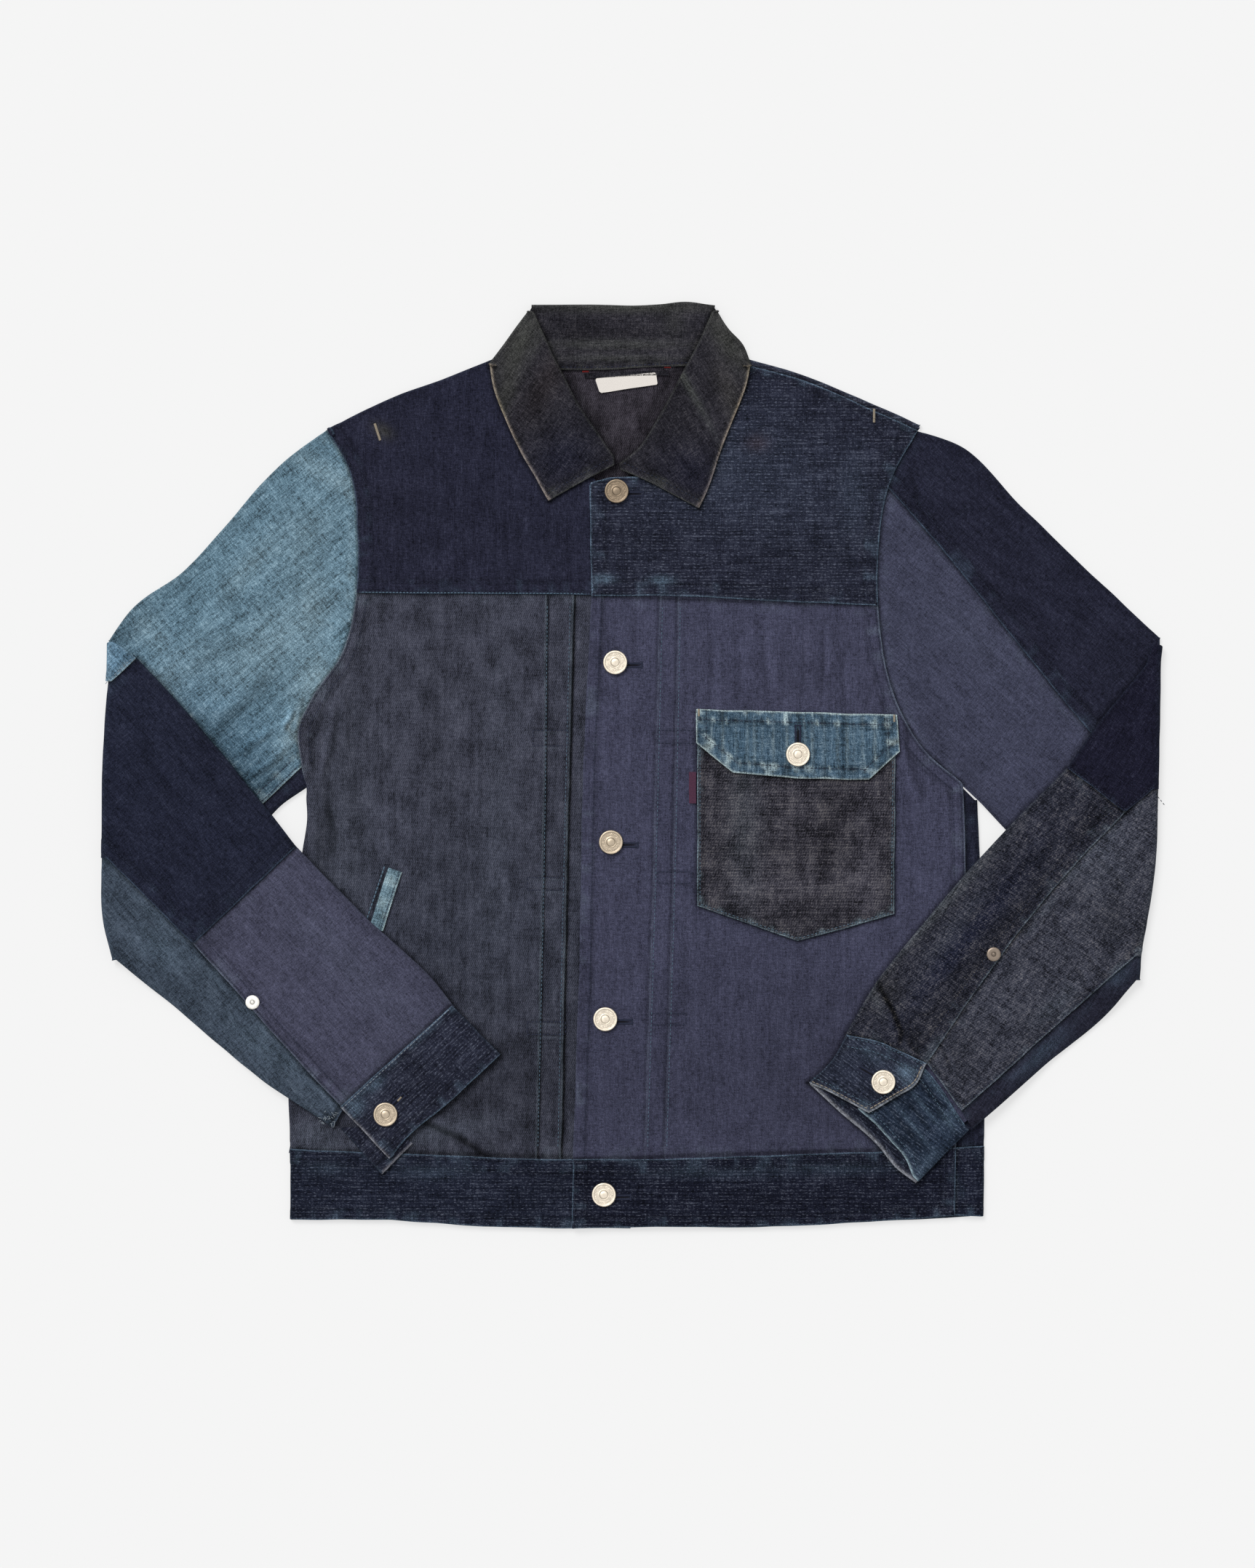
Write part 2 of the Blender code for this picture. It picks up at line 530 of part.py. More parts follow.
# ---- collar -----------------------------------------------------------------------------------------
def collar():
    """Stand and fall at the back, the two leaves in front, the hanger loop and the bare label."""
    def stand_top(x, y):
        return 2.4 + 2.2 * ease((y - 280.0) / 40.0)

    def leaf_top(x, y, front):
        near = ease(1.0 - distance(x, y, "leaf_roll_r", "leaf_roll_l") / 12.0)
        return np.maximum(front(x, y) + 2 * CLEAR + WALL, 5.8) + 0.5 * near

    cloth("collar_back", "black",
          (smooth("collar_top"), smooth("stand_l"), smooth("neck_seam"), smooth("stand_r")), (8, 4),
          stand_top, {"top": (None, 36.0, 4)})
    roll = (1.9, 5.0, 3)
    cloth("collar_leaf_right", "black",
          (smooth("leaf_side_r"), smooth("leaf_roll_r"), smooth("leaf_front_r"), smooth("leaf_free_r")),
          (4, 8), lambda x, y: leaf_top(x, y, right_front_top), {"right": roll})
    cloth("collar_leaf_left", "black",
          (smooth("leaf_side_l"), smooth("leaf_free_l"), smooth("leaf_front_l"), smooth("leaf_roll_l")),
          (4, 8), lambda x, y: leaf_top(x, y, left_front_top), {"left": roll})
    cloth("hanger_loop", "black",
          (straight((-33, 277), (27, 279)), straight((27, 279), (27.5, 275)),
           straight((-32.5, 273), (27.5, 275)), straight((-33, 277), (-32.5, 273))), (3, 1),
          level(WALL + CLEAR + WALL))
    cloth("neck_label", "white",
          (straight((-25, 272), (18, 274)), straight((18, 274), (19, 267)),
           straight((-22, 262), (19, 267)), straight((-25, 272), (-22, 262))), (3, 1),
          level(WALL + CLEAR + WALL))


# ---- sleeves ----------------------------------------------------------------------------------------
def sleeve_right():
    """Sky-blue upper arm, navy elbow, slate forearm and teal under-sleeve, folded at the elbow."""
    hidden = {"left": PAST_FOLD}
    back_seam = straight((-309, -127), (-271, -169), (-226, -219), (-205, -241))
    cloth("sleeve_right_upper", "sky",
          (smooth("over_r"), smooth("armhole_r"), smooth("under_seam_r"), straight((-369, 88), (-369, -122))),
          (7, 12), front_top, {"top": TO_FLOOR}, {"left": PAST_FOLD, "right": 0.9})
    cloth("sleeve_right_underarm", "navy",
          (smooth("under_seam_r"), straight((-233, -2), (-230, -17)), smooth("under_r"),
           straight((-369, -122), (-366, -136))), (7, 1), front_top, {"bottom": TO_FLOOR}, hidden)
    cloth("sleeve_right_back", "sky",
          (smooth("over_r"), smooth("armhole_r"), smooth("under_r"), straight((-369, 88), (-366, -136))),
          (5, 7), level(0.0), insets={"top": PAST_LIP + 3, "bottom": PAST_LIP + 3, "left": PAST_FOLD},
          face_down=True)
    cloth("sleeve_right_forearm_front", "slate",
          (smooth("fore_over_r"), straight((-126, -169), (-213, -255)), smooth("under_fore_r"),
           straight((-364, 87), (-367, -135))), (12, 6), over(forearm_rest, gap=0.1),
          insets={"top": PAST_LIP + 3, "bottom": PAST_LIP + 1, "left": PAST_FOLD + 2})
    cloth("sleeve_right_turn", "sky",
          (straight((-370, 82), (-359, 83)), smooth("turn_over_r"), straight((-370, 54), (-349, 75)),
           smooth("turn_fold_r")), (1, 2), forearm_top, {"left": FOLD, "right": TUBE})
    cloth("sleeve_right_elbow", "navy",
          (straight((-370, 54), (-349, 75)), smooth("elbow_over_r"),
           straight((-374, -62), (-309, -127), (-236, -58)), smooth("elbow_fold_r")), ((3, (-309, -127), 3), 8),
          forearm_top, {"left": FOLD, "right": TUBE}, {"top": 0.4})
    cloth("sleeve_right_lower", "slate",
          (straight((-309, -127), (-236, -58)), smooth("lower_over_r"), straight((-205, -241), (-126, -169)),
           back_seam), (5, 7), forearm_top, {"right": TUBE})
    cloth("sleeve_right_under", "teal",
          (joined(straight((-374, -62), (-309, -127)), back_seam), straight((-205, -241), (-213, -255)),
           smooth("under_fore_r"), smooth("fore_fold_r")), (9, 3), forearm_top,
          {"left": FOLD, "bottom": TUBE})
    cloth("cuff_right", "slub",
          (straight((-205, -242), (-126, -170)), straight((-126, -170), (-92, -205)),
           smooth("cuff_mouth_r"), straight((-205, -242), (-170, -279))), (5, 2), cuff_top,
          {"right": (CUFF_RISE / 2, 116.0, 3)}, wall=BAND_WALL)


def sleeve_left():
    """Navy over-arm, slate front, navy elbow, charcoal forearm and a navy strip, folded at the elbow."""
    hidden = {"right": PAST_FOLD, "left": 0.7}
    cloth("sleeve_left_over", "navy",
          (smooth("over_l"), smooth("fold_over_l"), smooth("front_seam_l"), between("armhole_l", 236, 195)),
          (8, 4), front_top, {"top": TO_FLOOR}, hidden)
    cloth("sleeve_left_front", "slate",
          (smooth("front_seam_l"), smooth("fold_front_l"), smooth("under_l"), between("armhole_l", 195, -14)),
          (8, 9), front_top, {"bottom": TO_FLOOR}, hidden)
    cloth("sleeve_left_back", "navy",
          (smooth("over_l"), straight((375, 88), (360, -128)), straight((222, 12), (270, -39), (360, -128)),
           straight((205, 236), (188, 198), (180, 150), (180, 112), (184, 76), (197, 40), (222, 12))),
          (5, 7), level(0.0), insets={"top": PAST_LIP + 1, "right": PAST_FOLD + 2}, face_down=True)
    cloth("sleeve_left_forearm_front", "slate",
          (smooth("full_over_l"), straight((369, 78), (360, -149)), smooth("under_fore_l"),
           straight((152, -190), (241, -258))), (12, 6), over(forearm_rest, gap=0.1),
          insets={"top": PAST_LIP + 2, "bottom": PAST_LIP + 1, "right": PAST_FOLD + 2})
    cloth("sleeve_left_elbow", "navy",
          (straight((366, 73), (375, 74)), smooth("elbow_fold_l"),
           straight((308, -3), (349, -34), (373, -14)), smooth("elbow_over_l")), ((3, (349, -34), 2), 5),
          forearm_top, {"left": TUBE, "right": FOLD})
    cloth("sleeve_left_forearm", "charcoal",
          (straight((308, -3), (349, -34)), smooth("fore_seam_l"), smooth("cuff_seam_l"),
           smooth("fore_over_l")), (3, 9), forearm_top, {"left": TUBE})
    cloth("sleeve_left_middle", "charcoal",
          (straight((349, -34), (373, -14)), smooth("fore_fold_l"),
           straight((209, -211), (233, -245), (361, -131)), smooth("fore_seam_l")), ((1, (233, -245), 5), 9),
          forearm_top, {"right": FOLD}, {"right": 4.2})
    cloth("sleeve_left_under", "navy",
          (straight((233, -245), (361, -131)), straight((361, -131), (360, -149)), smooth("under_fore_l"),
           straight((233, -245), (241, -258))), (6, 1), forearm_top, {"right": FOLD, "bottom": TUBE},
          {"right": 4.2, "top": 0.9})


def cuff_left():
    """The buttoned left cuff: its rear wall with both folds, and the two ends that lap in front."""
    roll = (CUFF_RISE / 2, 3.0, 3)
    cloth("cuff_left", "slub",
          (straight((152, -191), (241, -258)), straight((241, -258), (203, -297)),
           smooth("cuff_rear_mouth_l"), smooth("cuff_fold_l")), (6, 2), forearm_rest,
          {"left": roll, "right": roll}, wall=BAND_WALL, face_down=True)
    cloth("cuff_left_button_end", "slub",
          (smooth("cuff_under_seam_l"), straight((236, -253), (199, -291)), smooth("cuff_under_mouth_l"),
           straight((190, -204), (160, -243))), (5, 3), over(forearm_rest, BAND_WALL, BAND_WALL + CLEAR),
          wall=BAND_WALL)
    cloth("cuff_left_lap", "slub",
          (smooth("cuff_seam_l"), smooth("cuff_lap_l"), smooth("cuff_mouth_l"), smooth("cuff_fold_l")),
          (4, 3), lap_top, insets={"left": 6.0, "top": 0.5}, wall=BAND_WALL)


# ---- hardware ---------------------------------------------------------------------------------------
def turned(name, x, y, z, profile, steps):
    """A metal piece turned about its own upright axis."""
    mesh = bpy.data.meshes.new(name)
    points = [(r * MM, 0.0, h * MM) for r, h in profile]
    mesh.from_pydata(points, [(i, i + 1) for i in range(len(points) - 1)], [])
    mesh.materials.append(material("metal", METAL, 0.35, 1.0))
    piece = bpy.data.objects.new(name, mesh)
    piece.location = (x * MM, y * MM, z * MM)
    collection.objects.link(piece)
    turn = piece.modifiers.new("turn", "SCREW")
    turn.steps = turn.render_steps = steps
    turn.use_merge_vertices = True
    turn.merge_threshold = 0.0001
    return piece


def hardware():
    """Tack buttons on the fronts, flap and cuffs, and the small rivets on the sleeves."""
    for name, x, y in BUTTONS:
        surface = left_front_top
        gap = CLEAR
        if name == "button_flap":
            gap += 2 * (CLEAR + WALL)
        elif name == "cuff_button_right":
            surface = cuff_top
        elif name == "cuff_button_left":
            surface = lap_top
        reach = np.array([[0.0, BUTTON_PROFILE[-2][0], -BUTTON_PROFILE[-2][0]]])
        seat = surface(x + reach, np.full_like(reach, y)).max()
        turned(name, x, y, seat + gap, BUTTON_PROFILE, 16)
    for name, x, y in RIVETS:
        seat = forearm_top(np.array([[x]], float), np.array([[y]], float))[0, 0]
        turned(name, x, y, seat + 2 * CLEAR, RIVET_PROFILE, 12)


backs()
fronts()
waistbands()
pockets()
collar()
sleeve_right()
sleeve_left()
cuff_left()
hardware()
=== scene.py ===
"""Patched denim jacket laid out flat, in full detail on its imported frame: every cut piece as fine cloth
with its worn edges, then the stitching, buttonholes, buttons, materials, light and camera.

Lengths are in mm until they reach a mesh.  X is the wearer's left, Y the way to the collar, Z up."""
from math import cos, pi, radians, sin

import bpy
import numpy as np
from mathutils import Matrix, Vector
from mathutils.kdtree import KDTree


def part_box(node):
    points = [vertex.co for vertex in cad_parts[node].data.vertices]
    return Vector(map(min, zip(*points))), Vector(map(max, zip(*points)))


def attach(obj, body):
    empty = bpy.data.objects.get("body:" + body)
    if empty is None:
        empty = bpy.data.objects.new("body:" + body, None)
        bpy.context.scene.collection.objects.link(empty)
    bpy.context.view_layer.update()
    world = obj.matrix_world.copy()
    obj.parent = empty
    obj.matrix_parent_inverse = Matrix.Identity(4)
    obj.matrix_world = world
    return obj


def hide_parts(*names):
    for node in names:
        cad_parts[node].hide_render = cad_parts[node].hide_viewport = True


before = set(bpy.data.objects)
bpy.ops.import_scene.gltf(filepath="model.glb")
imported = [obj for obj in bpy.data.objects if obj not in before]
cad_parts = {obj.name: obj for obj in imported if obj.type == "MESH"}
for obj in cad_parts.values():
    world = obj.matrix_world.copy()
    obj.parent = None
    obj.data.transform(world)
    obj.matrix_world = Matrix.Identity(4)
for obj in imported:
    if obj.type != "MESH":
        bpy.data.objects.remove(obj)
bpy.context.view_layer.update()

MM = 0.001
WALL = 1.0            # one layer of denim
BAND_WALL = 1.2       # doubled cloth: cuffs and waistband
SEAM = 0.5            # cloth stays this far apart where two pieces are sewn edge to edge
CLEAR = 0.4           # air between a piece and the piece that lies on it
EDGE_RISE = 3.4       # height of the upper layer where it rolls down to the floor
SWELL = 0.8           # how much higher it stands away from its edges
SWELL_REACH = 50.0    # that far inside them
FOREARM_REST = 5.0    # height of the folded forearm's lower face on the body and upper sleeve
FOREARM_DROP = 60.0   # width over which it sinks to the floor beside them
FOREARM_SWELL = 0.5   # how much fuller the forearm is away from its edges
PLACKET_LIFT = 0.8    # the left front lies this much higher where it covers the right front
PLEAT_LIFT = 0.9      # height of a pleat at its folded edge
PLEAT_STEP = 1.6      # width in which a pleat drops off at its folded edge
PLEAT_TOP, PLEAT_FOOT = 119.9, -278.6    # the pleats run from the yoke seams to the waistband
PLACKET_FADE = 50.0   # width over which the left front's lift fades
SINK_FROM, SINK_WIDE = 4.0, 8.0          # where the right front sinks under the placket
SIDE_SPAN = (-270.0, -26.0)              # the body's sides run between these heights on the page
LAP_LIFT, LAP_FROM, LAP_CLIMB = 1.2, 6.0, 24.0    # the left cuff's lap: its lift, and where it climbs
CUFF_RISE = 4.0       # both walls of a flattened cuff
LIP = 4.0             # cloth that runs on under a rolled edge
FINE = 241            # samples along a drafted line


# Drafted lines of the laid-out jacket: smooth lines through a few (x, y) places.  "r" is the wearer's
# right (-X), "l" the wearer's left.
LINES = {
    # shoulders, neck, armholes and sides
    "shoulder_r": ((-215, 237), (-170, 259), (-131, 273), (-92, 289)),
    "shoulder_l": ((80, 288), (123, 275), (176, 253), (205, 240)),
    "shoulder_seam_l": ((80, 283), (123, 271), (174, 249), (203, 236)),
    "neck_r": ((-92, 289), (-76, 262), (-52, 226), (-27, 203)),
    "neck_l": ((80, 283), (66, 262), (40, 224), (12, 204)),
    "armhole_r": ((-215, 237), (-199, 208), (-193, 160), (-194, 121), (-203, 81), (-226, 46),
                  (-235, 26), (-233, -2)),
    "armhole_l": ((203, 236), (183, 198), (175, 150), (175, 112), (179, 76), (190, 39), (207, 11),
                  (235, -14)),
    "side_r": ((-230, -18), (-229, -40), (-232, -61), (-238, -154), (-242, -238), (-241, -272)),
    "side_l": ((245, -24), (246, -50), (249, -110), (250, -220), (250, -270)),
    "side_seam_l": ((235, -14), (237, -77), (233, -180), (230, -271)),
    # front edges and pleats
    "placket": ((-28, 119), (-33, 15), (-37, -159), (-41, -279)),
    "under_front": ((14, 120), (10, 15), (5, -159), (0, -279)),
    "pleat_outer_r": ((-60, 120), (-62, -50), (-67, -279)),
    "pleat_edge_r": ((-41, 120), (-46, -90), (-50, -279)),
    "pleat_edge_l": ((21, 119), (16, -80), (10, -279)),
    "pleat_outer_l": ((34, 119), (30, -80), (24, -279)),
    "hem_l": ((-42, -328), (17, -327), (97, -327), (160, -324), (229, -319)),
    # right sleeve, worn side
    "over_r": ((-369, 88), (-355, 108), (-316, 137), (-282, 174), (-252, 208), (-215, 237)),
    "under_seam_r": ((-369, -122), (-259, -27), (-233, -2)),
    "under_r": ((-366, -136), (-262, -45), (-247, -29), (-230, -17)),
    # right sleeve past the fold: its back lies up
    "elbow_fold_r": ((-370, 54), (-373, 8), (-374, -62)),
    "elbow_over_r": ((-349, 75), (-318, 42), (-263, -24), (-236, -58)),
    "lower_over_r": ((-236, -58), (-186, -109), (-139, -153), (-126, -169)),
    "fore_over_r": ((-364, 87), (-349, 75), (-318, 42), (-263, -24), (-236, -58), (-186, -109),
                    (-139, -153), (-126, -169)),
    "fore_fold_r": ((-374, -62), (-373, -110), (-367, -135)),
    "under_fore_r": ((-367, -135), (-327, -168), (-263, -221), (-213, -255)),
    # left sleeve, worn side
    "over_l": ((203, 236), (232, 226), (277, 182), (335, 126), (375, 88)),
    "front_seam_l": ((182, 195), (208, 166), (268, 92), (325, 22), (373, -36)),
    "under_l": ((235, -14), (265, -46), (356, -141)),
    "fold_over_l": ((375, 88), (375, 30), (373, -36)),
    "fold_front_l": ((373, -36), (369, -85), (361, -131), (356, -141)),
    # left sleeve past the fold
    "elbow_over_l": ((366, 73), (325, 22), (308, -3)),
    "elbow_fold_l": ((375, 74), (374, 30), (373, -14)),
    "fore_over_l": ((308, -3), (265, -46), (202, -118), (174, -153), (152, -190)),
    "full_over_l": ((152, -190), (174, -153), (202, -118), (265, -46), (308, -3), (325, 22), (369, 78)),
    "fore_seam_l": ((349, -34), (308, -77), (250, -151), (209, -211)),
    "fore_fold_l": ((373, -14), (370, -80), (361, -131)),
    "under_fore_l": ((241, -258), (295, -211), (333, -180), (360, -149)),
    # collar
    "leaf_roll_r": ((-70, 324), (-62, 306), (-52, 284), (-39, 259), (-25, 237), (-11, 217)),
    "leaf_free_r": ((-100, 284), (-97, 266), (-89, 245), (-78, 221), (-68, 203), (-58, 186)),
    "leaf_side_r": ((-100, 284), (-86, 302), (-76, 316), (-70, 324)),
    "leaf_front_r": ((-58, 186), (-44, 194), (-28, 203), (-11, 212)),
    "leaf_roll_l": ((59, 324), (50, 303), (41, 286), (31, 266), (18, 243), (5, 223), (-9, 212)),
    "leaf_free_l": ((85, 284), (82, 269), (73, 245), (62, 216), (56, 198), (48, 181)),
    "leaf_side_l": ((59, 324), (69, 308), (80, 296), (85, 284)),
    "leaf_front_l": ((-9, 209), (12, 200), (31, 190), (48, 181)),
    "collar_top": ((-69, 325), (-35, 325), (17, 325), (44, 327), (58, 325)),
    "neck_seam": ((-49, 279), (-20, 279), (17, 281), (38, 282)),
    # cuffs
    "cuff_mouth_r": ((-170, -279), (-158, -264), (-131, -241), (-92, -205)),
    "cuff_seam_l": ((152, -191), (176, -196), (192, -203), (209, -211)),
    "cuff_fold_l": ((152, -191), (142, -209), (125, -225)),
    "cuff_mouth_l": ((125, -225), (139, -231), (155, -239), (168, -246)),
    "cuff_lap_l": ((208, -212), (202, -225), (187, -235), (168, -246)),
    "cuff_under_seam_l": ((190, -205), (207, -214), (219, -229), (230, -246), (235, -254)),
    "cuff_under_mouth_l": ((160, -243), (174, -256), (184, -267), (194, -279), (199, -291)),
    "cuff_rear_mouth_l": ((125, -225), (150, -248), (174, -269), (187, -285), (203, -297)),
}


# ---- drafting ---------------------------------------------------------------------------------------
SIDES = ("top", "right", "bottom", "left")


def ease(x):
    """Smooth step from 0 at x = 0 to 1 at x = 1."""
    x = np.clip(x, 0.0, 1.0)
    return x * x * (3.0 - 2.0 * x)


def bell(x):
    """A soft hump, 1 at x = 0 and gone by about 2 on either side."""
    return np.exp(-x ** 2)


def spread(line):
    """The same line with equally spaced samples."""
    knots = np.concatenate([[0.0], np.cumsum(np.linalg.norm(np.diff(line, axis=0), axis=1))])
    where = np.linspace(0.0, knots[-1], FINE)
    return np.stack([np.interp(where, knots, line[:, k]) for k in (0, 1)], axis=1)


def smooth(name):
    """Samples of a drafted line: a cubic through its places."""
    p = np.array(LINES[name], float)
    knots = np.concatenate([[0.0], np.cumsum(np.linalg.norm(np.diff(p, axis=0), axis=1))])
    where = np.linspace(0.0, knots[-1], FINE)
    slope = np.gradient(p, knots, axis=0)
    i = np.clip(np.searchsorted(knots, where, side="right") - 1, 0, len(p) - 2)
    step = (knots[i + 1] - knots[i])[:, None]
    f = (where - knots[i])[:, None] / step
    return ((1 + 2 * f) * (1 - f) ** 2 * p[i] + f * f * (3 - 2 * f) * p[i + 1]
            + step * (f * (1 - f) ** 2 * slope[i] - f * f * (1 - f) * slope[i + 1]))


def straight(*places):
    """Samples of a line with corners at the places given."""
    return spread(np.array(places, float))


def drawn(line):
    """Samples of a line given by its drafted name, by its corners, or already sampled."""
    if isinstance(line, np.ndarray):
        return line
    return smooth(line) if isinstance(line, str) else straight(*line)


def joined(*lines):
    """Lines run end to end as one."""
    return spread(np.concatenate([drawn(line) for line in lines]))


def between(name, y_from, y_to):
    """The stretch of a drafted line between two heights y."""
    line = smooth(name)
    low, high = min(y_from, y_to), max(y_from, y_to)
    kept = line[(line[:, 1] >= low) & (line[:, 1] <= high)]
    return spread(kept if (kept[0, 1] > kept[-1, 1]) == (y_from > y_to) else kept[::-1])


def at(line, t):
    """Places at fractions t along a sampled line."""
    f = np.linspace(0.0, 1.0, len(line))
    return np.stack([np.interp(t, f, line[:, k]) for k in (0, 1)], axis=1)


def nearest(line, place):
    """Number of the sample nearest to a place."""
    return int(np.argmin(((line - np.array(place, float)) ** 2).sum(axis=1)))


def trimmed(line, first, last):
    """A sampled line cut to end at two places near it."""
    kept = line[nearest(line, first):nearest(line, last) + 1].copy()
    kept[0], kept[-1] = first, last
    return spread(kept)


def outward(line, side):
    """Unit normals along one of a piece's four sides, pointing out of the piece."""
    tangent = np.gradient(line, axis=0)
    turn = 1.0 if side in ("top", "right") else -1.0
    normal = turn * np.stack([-tangent[:, 1], tangent[:, 0]], axis=1)
    return normal / np.linalg.norm(normal, axis=1)[:, None]


def inset_sides(sides, insets):
    """Four sampled sides (top, right, bottom, left) moved inward, meeting again at their corners."""
    normals = [outward(line, side) for line, side in zip(sides, SIDES)]
    (top, _, bottom, _), (nt, nr, nb, nl), (it, ir, ib, il) = sides, normals, insets

    def corner(place, normal_a, inset_a, normal_b, inset_b):
        """Where two sides cross when both have moved in; halfway between them if they run in line."""
        return place - np.linalg.pinv(np.array([normal_a, normal_b]), 0.3) @ np.array([inset_a, inset_b])

    tl = corner(top[0], nt[0], it, nl[0], il)
    tr = corner(top[-1], nt[-1], it, nr[0], ir)
    bl = corner(bottom[0], nb[0], ib, nl[-1], il)
    br = corner(bottom[-1], nb[-1], ib, nr[-1], ir)
    ends = ((tl, tr), (tr, br), (bl, br), (tl, bl))
    return [trimmed(side - normal * inset, first, last)
            for side, normal, inset, (first, last) in zip(sides, normals, insets, ends)]


def quad(a, b, c, d):
    """Four straight sides between corners given clockwise from the top left."""
    return straight(a, b), straight(b, c), straight(d, c), straight(a, d)


def span(sides, u, v):
    """Places inside four sampled sides: u runs left to right and v from top to bottom."""
    top, right, bottom, left = sides
    t, b, l, r = at(top, u)[None], at(bottom, u)[None], at(left, v)[:, None], at(right, v)[:, None]
    uu, vv = u[None, :, None], v[:, None, None]
    flat = ((1 - uu) * (1 - vv) * top[0] + uu * (1 - vv) * top[-1]
            + (1 - uu) * vv * bottom[0] + uu * vv * bottom[-1])
    return (1 - vv) * t + vv * b + (1 - uu) * l + uu * r - flat


# ---- heights of the layers --------------------------------------------------------------------------
def distance(x, y, *names):
    """Distance from places to the nearest of the named lines."""
    places = np.stack([x, y], axis=-1)[..., None, :]
    line = np.concatenate([smooth(name)[::4] for name in names])
    return np.sqrt(((places - line) ** 2).sum(axis=-1)).min(axis=-1)


def line_x(name, y):
    """Where a line that runs down the front crosses the height y."""
    line = smooth(name)[::-1]
    return np.interp(y, line[:, 1], line[:, 0])


def front_top(x, y):
    """Upper face of the fronts and upper sleeves: low where they roll down, a little fuller inside."""
    gap = distance(x, y, "shoulder_r", "shoulder_l", "over_r", "over_l", "side_r", "side_l", "under_r",
                   "under_l")
    return EDGE_RISE + SWELL * ease(gap / SWELL_REACH)


def pleat(x, y, outer, edge):
    """How high a pleat stands: rising from its outer line to its folded edge, then dropping off."""
    outer, edge = line_x(outer, y), line_x(edge, y)
    rise = ease((x - outer) / (edge - outer))
    drop = np.clip(1.0 - (x - edge) * np.sign(edge - outer) / PLEAT_STEP, 0.0, 1.0)
    return PLEAT_LIFT * rise * drop * ((y < PLEAT_TOP) & (y > PLEAT_FOOT))


def right_front_top(x, y):
    """The right front sinks where the placket covers it, and has a pleat beside it."""
    low = ease((line_x("placket", y) - SINK_FROM - x) / SINK_WIDE)
    top = EDGE_RISE + (front_top(x, y) - EDGE_RISE) * low
    return top + pleat(x, y, "pleat_outer_r", "pleat_edge_r")


def left_front_top(x, y):
    """The left front lies over the right one, and its pleat runs beside the placket."""
    lift = PLACKET_LIFT * (1.0 - ease((x - line_x("pleat_outer_l", y)) / PLACKET_FADE))
    return front_top(x, y) + lift + pleat(x, y, "pleat_outer_l", "pleat_edge_l")


def forearm_rest(x, y):
    """Lower face of the folded forearms: on the body and the upper sleeve, and on the floor beside."""
    beside = np.zeros_like(x)
    for sign, arm, body in ((1.0, "under_r", "side_r"), (-1.0, "under_l", "side_l")):
        line = smooth(arm)
        near, far = (line[-1], line[0]) if sign > 0 else (line[0], line[-1])
        along = (far - near) / np.linalg.norm(far - near)
        below = sign * ((x - near[0]) * along[1] - (y - near[1]) * along[0])
        off_body = sign * (line_x(body, np.clip(y, *SIDE_SPAN)) - x)
        gap = np.minimum(np.maximum(-below, 0.0), np.maximum(off_body, 0.0))
        beside = np.where(np.sign(x) == -sign, gap, beside)
    return FOREARM_REST * ease(1.0 - beside / FOREARM_DROP)


def forearm_top(x, y):
    """Upper face of the folded forearms."""
    gap = distance(x, y, "elbow_over_r", "lower_over_r", "under_fore_r", "elbow_over_l", "fore_over_l",
                   "under_fore_l")
    return forearm_rest(x, y) + EDGE_RISE + FOREARM_SWELL * ease(gap / SWELL_REACH)


def cuff_top(x, y):
    """Upper face of both walls of a flattened cuff."""
    return forearm_rest(x, y) + CUFF_RISE


def lap_top(x, y):
    """The left cuff's buttonhole end climbs over its button end."""
    along = 0.79 * (x - 152.0) - 0.61 * (y + 191.0)    # from the cuff's folded end toward the lap's edge
    return cuff_top(x, y) + LAP_LIFT * ease((along - LAP_FROM) / LAP_CLIMB)


def level(height):
    """A flat face at one height."""
    return lambda x, y: np.full_like(x, height)


def over(surface, wall=WALL, gap=CLEAR):
    """Upper face of a piece that lies on a surface."""
    return lambda x, y: surface(x, y) + gap + wall


# ---- irregularities ---------------------------------------------------------------------------------
def hashed(i, j, seed):
    """Evenly spread values from -1 to 1, one for each lattice place."""
    h = ((i * 73856093) ^ (j * 19349663) ^ (seed * 83492791)) & 0xFFFFFFFF
    h = ((h ^ (h >> 13)) * 1274126177) & 0xFFFFFFFF
    return ((h ^ (h >> 16)) & 0xFFFF) / 32767.5 - 1.0


def noise(x, y, size, seed=0):
    """Smooth noise from -1 to 1 with lumps about size mm across."""
    x, y = np.asarray(x, float) / size, np.asarray(y, float) / size
    i, j = np.floor(x).astype(np.int64), np.floor(y).astype(np.int64)
    fx, fy = ease(x - i), ease(y - j)
    low = hashed(i, j, seed) * (1 - fx) + hashed(i + 1, j, seed) * fx
    high = hashed(i, j + 1, seed) * (1 - fx) + hashed(i + 1, j + 1, seed) * fx
    return low * (1 - fy) + high * fy


def gap_to(line, x, y):
    """Distance from places to a sampled line, and how far along the line the nearest place is."""
    a, b = line[:-1], line[1:]
    run = b - a
    length = np.linalg.norm(run, axis=1)
    knots = np.concatenate([[0.0], np.cumsum(length)])[:-1]
    px, py = x[..., None] - a[:, 0], y[..., None] - a[:, 1]
    t = np.clip((px * run[:, 0] + py * run[:, 1]) / length ** 2, 0.0, 1.0)
    far = (px - t * run[:, 0]) ** 2 + (py - t * run[:, 1]) ** 2
    k = far.argmin(axis=-1)[..., None]
    best = np.sqrt(np.take_along_axis(far, k, -1))[..., 0]
    return best, (knots[k] + np.take_along_axis(t, k, -1) * length[k])[..., 0]


